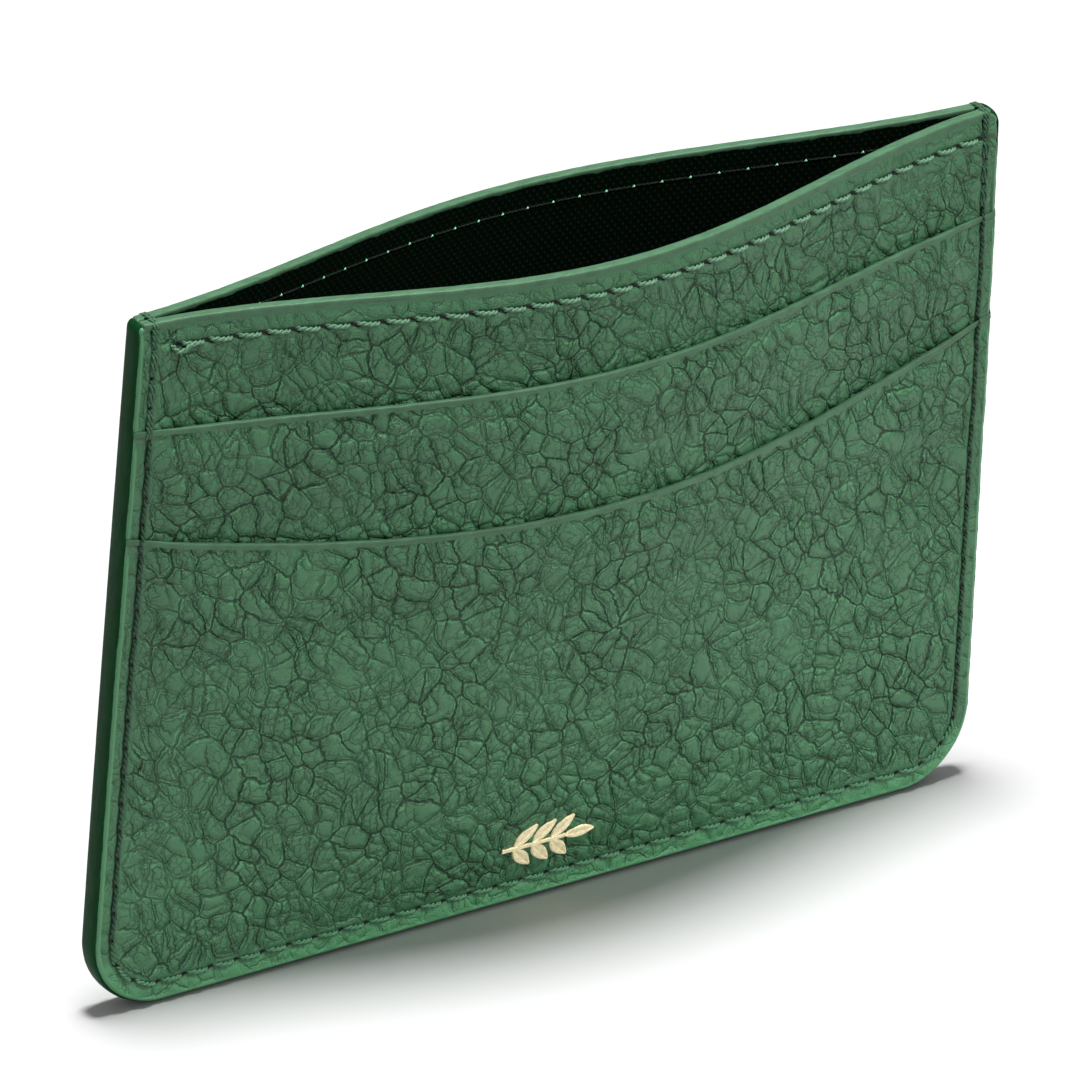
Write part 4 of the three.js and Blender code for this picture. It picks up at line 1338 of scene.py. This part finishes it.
class CARDHOLDER_OT_lock_stitches(bpy.types.Operator):
    """Sew the doubled stitches over the mouth edge at both corners"""

    bl_idname = "cardholder.lock_stitches"
    bl_label = "Lock Stitches"

    def execute(self, context):
        settings = context.scene.holder_seams
        thread = thread_material("lock_thread", settings.colour, shaded=True)
        pitch = settings.pitch / MM
        holes = seam_holes(pitch)
        for side, node, last in ((-1, "left_lock_stitches", holes[0]),
                                 (1, "right_lock_stitches", holes[-1])):
            paths = []
            foot = float(seam_point(np.array(last))[1])
            for strand in LOCK_STRANDS:
                paths.append(self.over_the_edge(side, strand))
                for wall in (FRONT, REAR):
                    paths += self.doubled(side, strand, wall, foot, pitch)
            points, faces = twisted_thread(paths, settings.ply_width / MM * 0.95, THREAD_TWIST)
            piece = build_object(node + "_thread", points, faces, 80.0)
            # Painted shade: the lock stitches take the darkened thread colour, more at the right corner.
            add_values(piece, "side", np.full(len(piece.data.vertices), 0.75 if side > 0 else 0.5))
            finish_piece(piece, thread, node)
        return {"FINISHED"}

    def over_the_edge(self, side, strand):
        """One strand from the first hole in front, over the lip, to the first hole behind."""
        across = side * SEAM_HALF + strand
        crest = corner_top(side) + 0.08
        turn = np.linspace(0.0, math.pi, 25)
        depth = (WALL_OUTER - LIP_SKIVE + 0.14) * np.cos(turn)
        z = crest - 0.55 + 0.55 * np.sin(turn) ** 0.7
        foot = crest - LOCK_LOOP
        front = np.linspace(0.0, 1.0, 9)[:-1]
        bulge = np.sin(front * math.pi / 2) ** 0.6
        front_depth = WALL_OUTER - 0.30 + (0.44 - LIP_SKIVE * front) * bulge
        front_z = foot + (crest - 0.55 - foot) * front
        depth = np.concatenate([front_depth, depth, -front_depth[::-1]])
        z = np.concatenate([front_z, z, front_z[::-1]])
        lean = strand * 0.25 * np.linspace(-1, 1, len(z))
        return np.stack([(across + lean) * narrowing(z), -depth, z], axis=1)

    def doubled(self, side, strand, wall, foot, pitch):
        """The stitches sewn twice, from the first hole down to `foot`."""
        made = []
        top = corner_top(side) + 0.12 - LOCK_LOOP
        count = max(round((top - foot) / pitch), 1)
        span = (top - foot) / count
        for k in range(count):
            t = np.linspace(0.0, 1.0, 13)
            z = top - span * k - 0.12 - (span - 0.24) * t
            lean = 0.12 * (0.5 - t) + strand * (0.75 + 0.2 * np.sin(t * math.pi))
            height = -0.3 + 0.52 * np.sin(math.pi * t) ** 0.55
            face = sewn_face(z) if wall == FRONT else level(WALL_OUTER - SEAM_GROOVE)(z)
            made.append(place(side * SEAM_HALF + lean, z, face + height, wall))
        return made


# ---- Foil motif ----


class CARDHOLDER_OT_foil(bpy.types.Operator):
    """Press the foil sprig into the lower panel"""

    bl_idname = "cardholder.foil"
    bl_label = "Foil Motif"

    def execute(self, context):
        foil = foil_material("pressed_foil", context.scene.holder_foil.colour)
        half = MOTIF_WIDTH / 2
        leaves = [(half - MOTIF_LEAF_LENGTH - 0.1, 0.0, MOTIF_LEAF_LENGTH + 0.1)]
        for i in range(3):
            for turn in (0.8, -0.8):
                leaves.append((-half + 1.2 + i * 2.1, turn, MOTIF_LEAF_LENGTH))
        points, faces = [], []
        for x, angle, length in leaves:
            self.add_leaf(points, faces, x, angle, length)
        self.add_stem(points, faces, -half, half - MOTIF_LEAF_LENGTH)
        piece = build_object("foil_motif_sprig", np.array(points), faces, 28.0)
        finish_piece(piece, foil, "foil_motif")
        return {"FINISHED"}

    def lay(self, x, y, lift):
        """A point of the motif on the lower panel, `lift` above its surface."""
        z = MOTIF_HEIGHT_ABOVE_EDGE + y
        face = lower_panel_outer(np.array(z))
        return place(np.array(x), np.array(z), face + lift, FRONT).tolist()

    def add_leaf(self, points, faces, x, angle, length):
        """A leaf with sloping walls, a flat rim and a vein pressed along its middle."""
        t = np.linspace(0.02, 0.98, 17)
        half = MOTIF_LEAF_WIDTH * 2 * t * (1 - t) * 1.05 + 0.03
        profile = [(-1.0, -0.09), (-0.86, 0.06), (-0.34, 0.085), (-0.10, 0.02), (0.10, 0.02),
                   (0.34, 0.085), (0.86, 0.06), (1.0, -0.09)]
        start = len(points)
        for share, width in zip(t, half):
            for across, lift in profile:
                px, py = share * length, across * width
                qx = x + px * math.cos(angle) - py * math.sin(angle)
                qy = px * math.sin(angle) + py * math.cos(angle)
                points.append(self.lay(qx, qy, lift))
        faces += [face[::-1] for face in tube_faces(len(t), len(profile), start)]

    def add_stem(self, points, faces, low, high):
        start = len(points)
        profile = [(-0.24, -0.09), (-0.17, 0.10), (0.17, 0.10), (0.24, -0.09)]
        stations = np.linspace(low, high, 24)
        for x in stations:
            for y, lift in profile:
                points.append(self.lay(x, y, lift))
        faces += [face[::-1] for face in tube_faces(len(stations), len(profile), start)]


# ---- Stage ----

VIEW_SIDE = 35.60
VIEW_HEIGHT = 28.07
VIEW_TILT = 3.63
VIEW_DISTANCE = 1334.0
VIEW_LENS = 476.3
VIEW_AIM = (-0.70, 0.69, 37.30)

# Each light's place, what it points at, and its size, in metres.
LIGHTS = {
    "key": ((0.24, -0.36, 0.90), (0.0, 0.0, 0.03), 0.20),
    "low": ((0.10, -0.33, 0.16), (0.010, 0.0, -0.024), 0.04),
    "overhead": ((-0.03, 0.03, 0.90), (0.0, 0.0, 0.0), 0.24),
}
LOW_BEAM = 24.0
FLOOR_RINGS = (0.05, 0.1, 0.2, 0.4, 0.8, 1.6, 3.2)
FLOOR_SIDES = 64


class CARDHOLDER_OT_stage(bpy.types.Operator):
    """Set up the camera, the pale floor and the soft lights"""

    bl_idname = "cardholder.stage"
    bl_label = "Stage"

    def execute(self, context):
        self.camera(context.scene)
        settings = context.scene.holder_stage
        self.floor(settings)
        self.lights(context.scene, settings)
        return {"FINISHED"}

    def camera(self, scene):
        data = bpy.data.cameras.new("camera")
        data.lens = VIEW_LENS
        data.sensor_width = 36.0
        data.clip_start = 0.05
        data.clip_end = 50.0
        camera = bpy.data.objects.new("camera", data)
        side, height, tilt = (math.radians(v) for v in (VIEW_SIDE, VIEW_HEIGHT, VIEW_TILT))
        back = Vector((-math.sin(side) * math.cos(height), -math.cos(side) * math.cos(height),
                       math.sin(height)))
        right = (-back).cross(Vector((0, 0, 1))).normalized()
        up = right.cross(-back)
        tilted_right = right * math.cos(tilt) + up * math.sin(tilt)
        tilted_up = up * math.cos(tilt) - right * math.sin(tilt)
        turn = Matrix((tilted_right, tilted_up, back)).transposed()
        place_at = (Vector(VIEW_AIM) + back * VIEW_DISTANCE) * MM
        camera.matrix_world = Matrix.Translation(place_at) @ turn.to_4x4()
        scene.collection.objects.link(camera)
        scene.camera = camera
        scene.view_settings.view_transform = "Standard"

    def floor(self, settings):
        points, faces = [(0.0, 0.0, 0.0)], []
        count = FLOOR_SIDES
        for radius in FLOOR_RINGS:
            for k in range(count):
                turn = 2 * math.pi * k / count
                points.append((radius * math.cos(turn) / MM, radius * math.sin(turn) / MM, 0.0))
        for k in range(count):
            faces.append([0, 1 + k, 1 + (k + 1) % count])
        for ring in range(len(FLOOR_RINGS) - 1):
            base = 1 + ring * count
            for k in range(count):
                after = (k + 1) % count
                faces.append([base + k, base + k + count, base + count + after, base + after])
        floor = build_object("studio_floor", points, faces)
        material, kit, shader = new_material("floor_paper")
        position = kit.add("ShaderNodeTexCoord").outputs["Object"]
        tone = kit.noise(position, 40.0, 3.0)["Fac"]
        body = kit.mixed(tone, colour4(settings.floor_colour, 0.995), colour4(settings.floor_colour))
        kit.feed(shader.inputs["Base Color"], body)
        shader.inputs["Roughness"].default_value = 0.9
        shader.inputs["Specular IOR Level"].default_value = 0.1
        floor.data.materials.append(material)

    def lights(self, scene, settings):
        for name, (start, aim, size) in LIGHTS.items():
            data = bpy.data.lights.new(name, "SPOT" if name == "low" else "AREA")
            if name == "low":
                data.spot_size = math.radians(LOW_BEAM)
                data.spot_blend = 1.0
                data.shadow_soft_size = size
            else:
                data.shape = "DISK"
                data.size = size
            data.energy = getattr(settings, name)
            light = bpy.data.objects.new(name, data)
            light.location = start
            toward = Vector(aim) - Vector(start)
            light.rotation_euler = toward.to_track_quat("-Z", "Y").to_euler()
            scene.collection.objects.link(light)
            if name != "overhead":
                light.light_linking.receiver_collection = key_lit_pieces()
        world = bpy.data.worlds.new("studio")
        world.use_nodes = True
        background = world.node_tree.nodes["Background"]
        background.inputs[0].default_value = (1.0, 1.0, 1.0, 1.0)
        background.inputs[1].default_value = settings.room
        scene.world = world


class CARDHOLDER_PT_workshop(bpy.types.Panel):
    """Settings and build steps of the card holder"""

    bl_idname = "CARDHOLDER_PT_workshop"
    bl_label = "Card Holder"
    bl_space_type = "VIEW_3D"
    bl_region_type = "UI"
    bl_category = "Card Holder"

    def draw(self, context):
        layout = self.layout
        scene = context.scene
        for name in SETTINGS:
            box = layout.box()
            group = getattr(scene, name)
            for key in group.__annotations__:
                box.prop(group, key)
        for operator in STEPS:
            layout.operator(operator.bl_idname)


SETTINGS = {
    "holder_leather": HolderLeather,
    "holder_seams": HolderSeams,
    "holder_paint": HolderPaint,
    "holder_lining": HolderLining,
    "holder_foil": HolderFoil,
    "holder_stage": HolderStage,
}

STEPS = (
    CARDHOLDER_OT_stage,
    CARDHOLDER_OT_linings,
    CARDHOLDER_OT_leather,
    CARDHOLDER_OT_edge_paint,
    CARDHOLDER_OT_perimeter_seam,
    CARDHOLDER_OT_mouth_seams,
    CARDHOLDER_OT_lock_stitches,
    CARDHOLDER_OT_foil,
)


def register():
    for group in SETTINGS.values():
        bpy.utils.register_class(group)
    for operator in STEPS:
        bpy.utils.register_class(operator)
    bpy.utils.register_class(CARDHOLDER_PT_workshop)
    for name, group in SETTINGS.items():
        setattr(bpy.types.Scene, name, PointerProperty(type=group))


def unregister():
    for name in SETTINGS:
        delattr(bpy.types.Scene, name)
    bpy.utils.unregister_class(CARDHOLDER_PT_workshop)
    for operator in reversed(STEPS):
        bpy.utils.unregister_class(operator)
    for group in reversed(list(SETTINGS.values())):
        bpy.utils.unregister_class(group)


def main():
    register()
    bpy.ops.cardholder.stage()
    bpy.ops.cardholder.linings()
    bpy.ops.cardholder.leather()
    bpy.ops.cardholder.edge_paint()
    bpy.ops.cardholder.perimeter_seam()
    bpy.ops.cardholder.mouth_seams()
    bpy.ops.cardholder.lock_stitches()
    bpy.ops.cardholder.foil()
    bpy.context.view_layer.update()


if __name__ == "__main__":
    main()
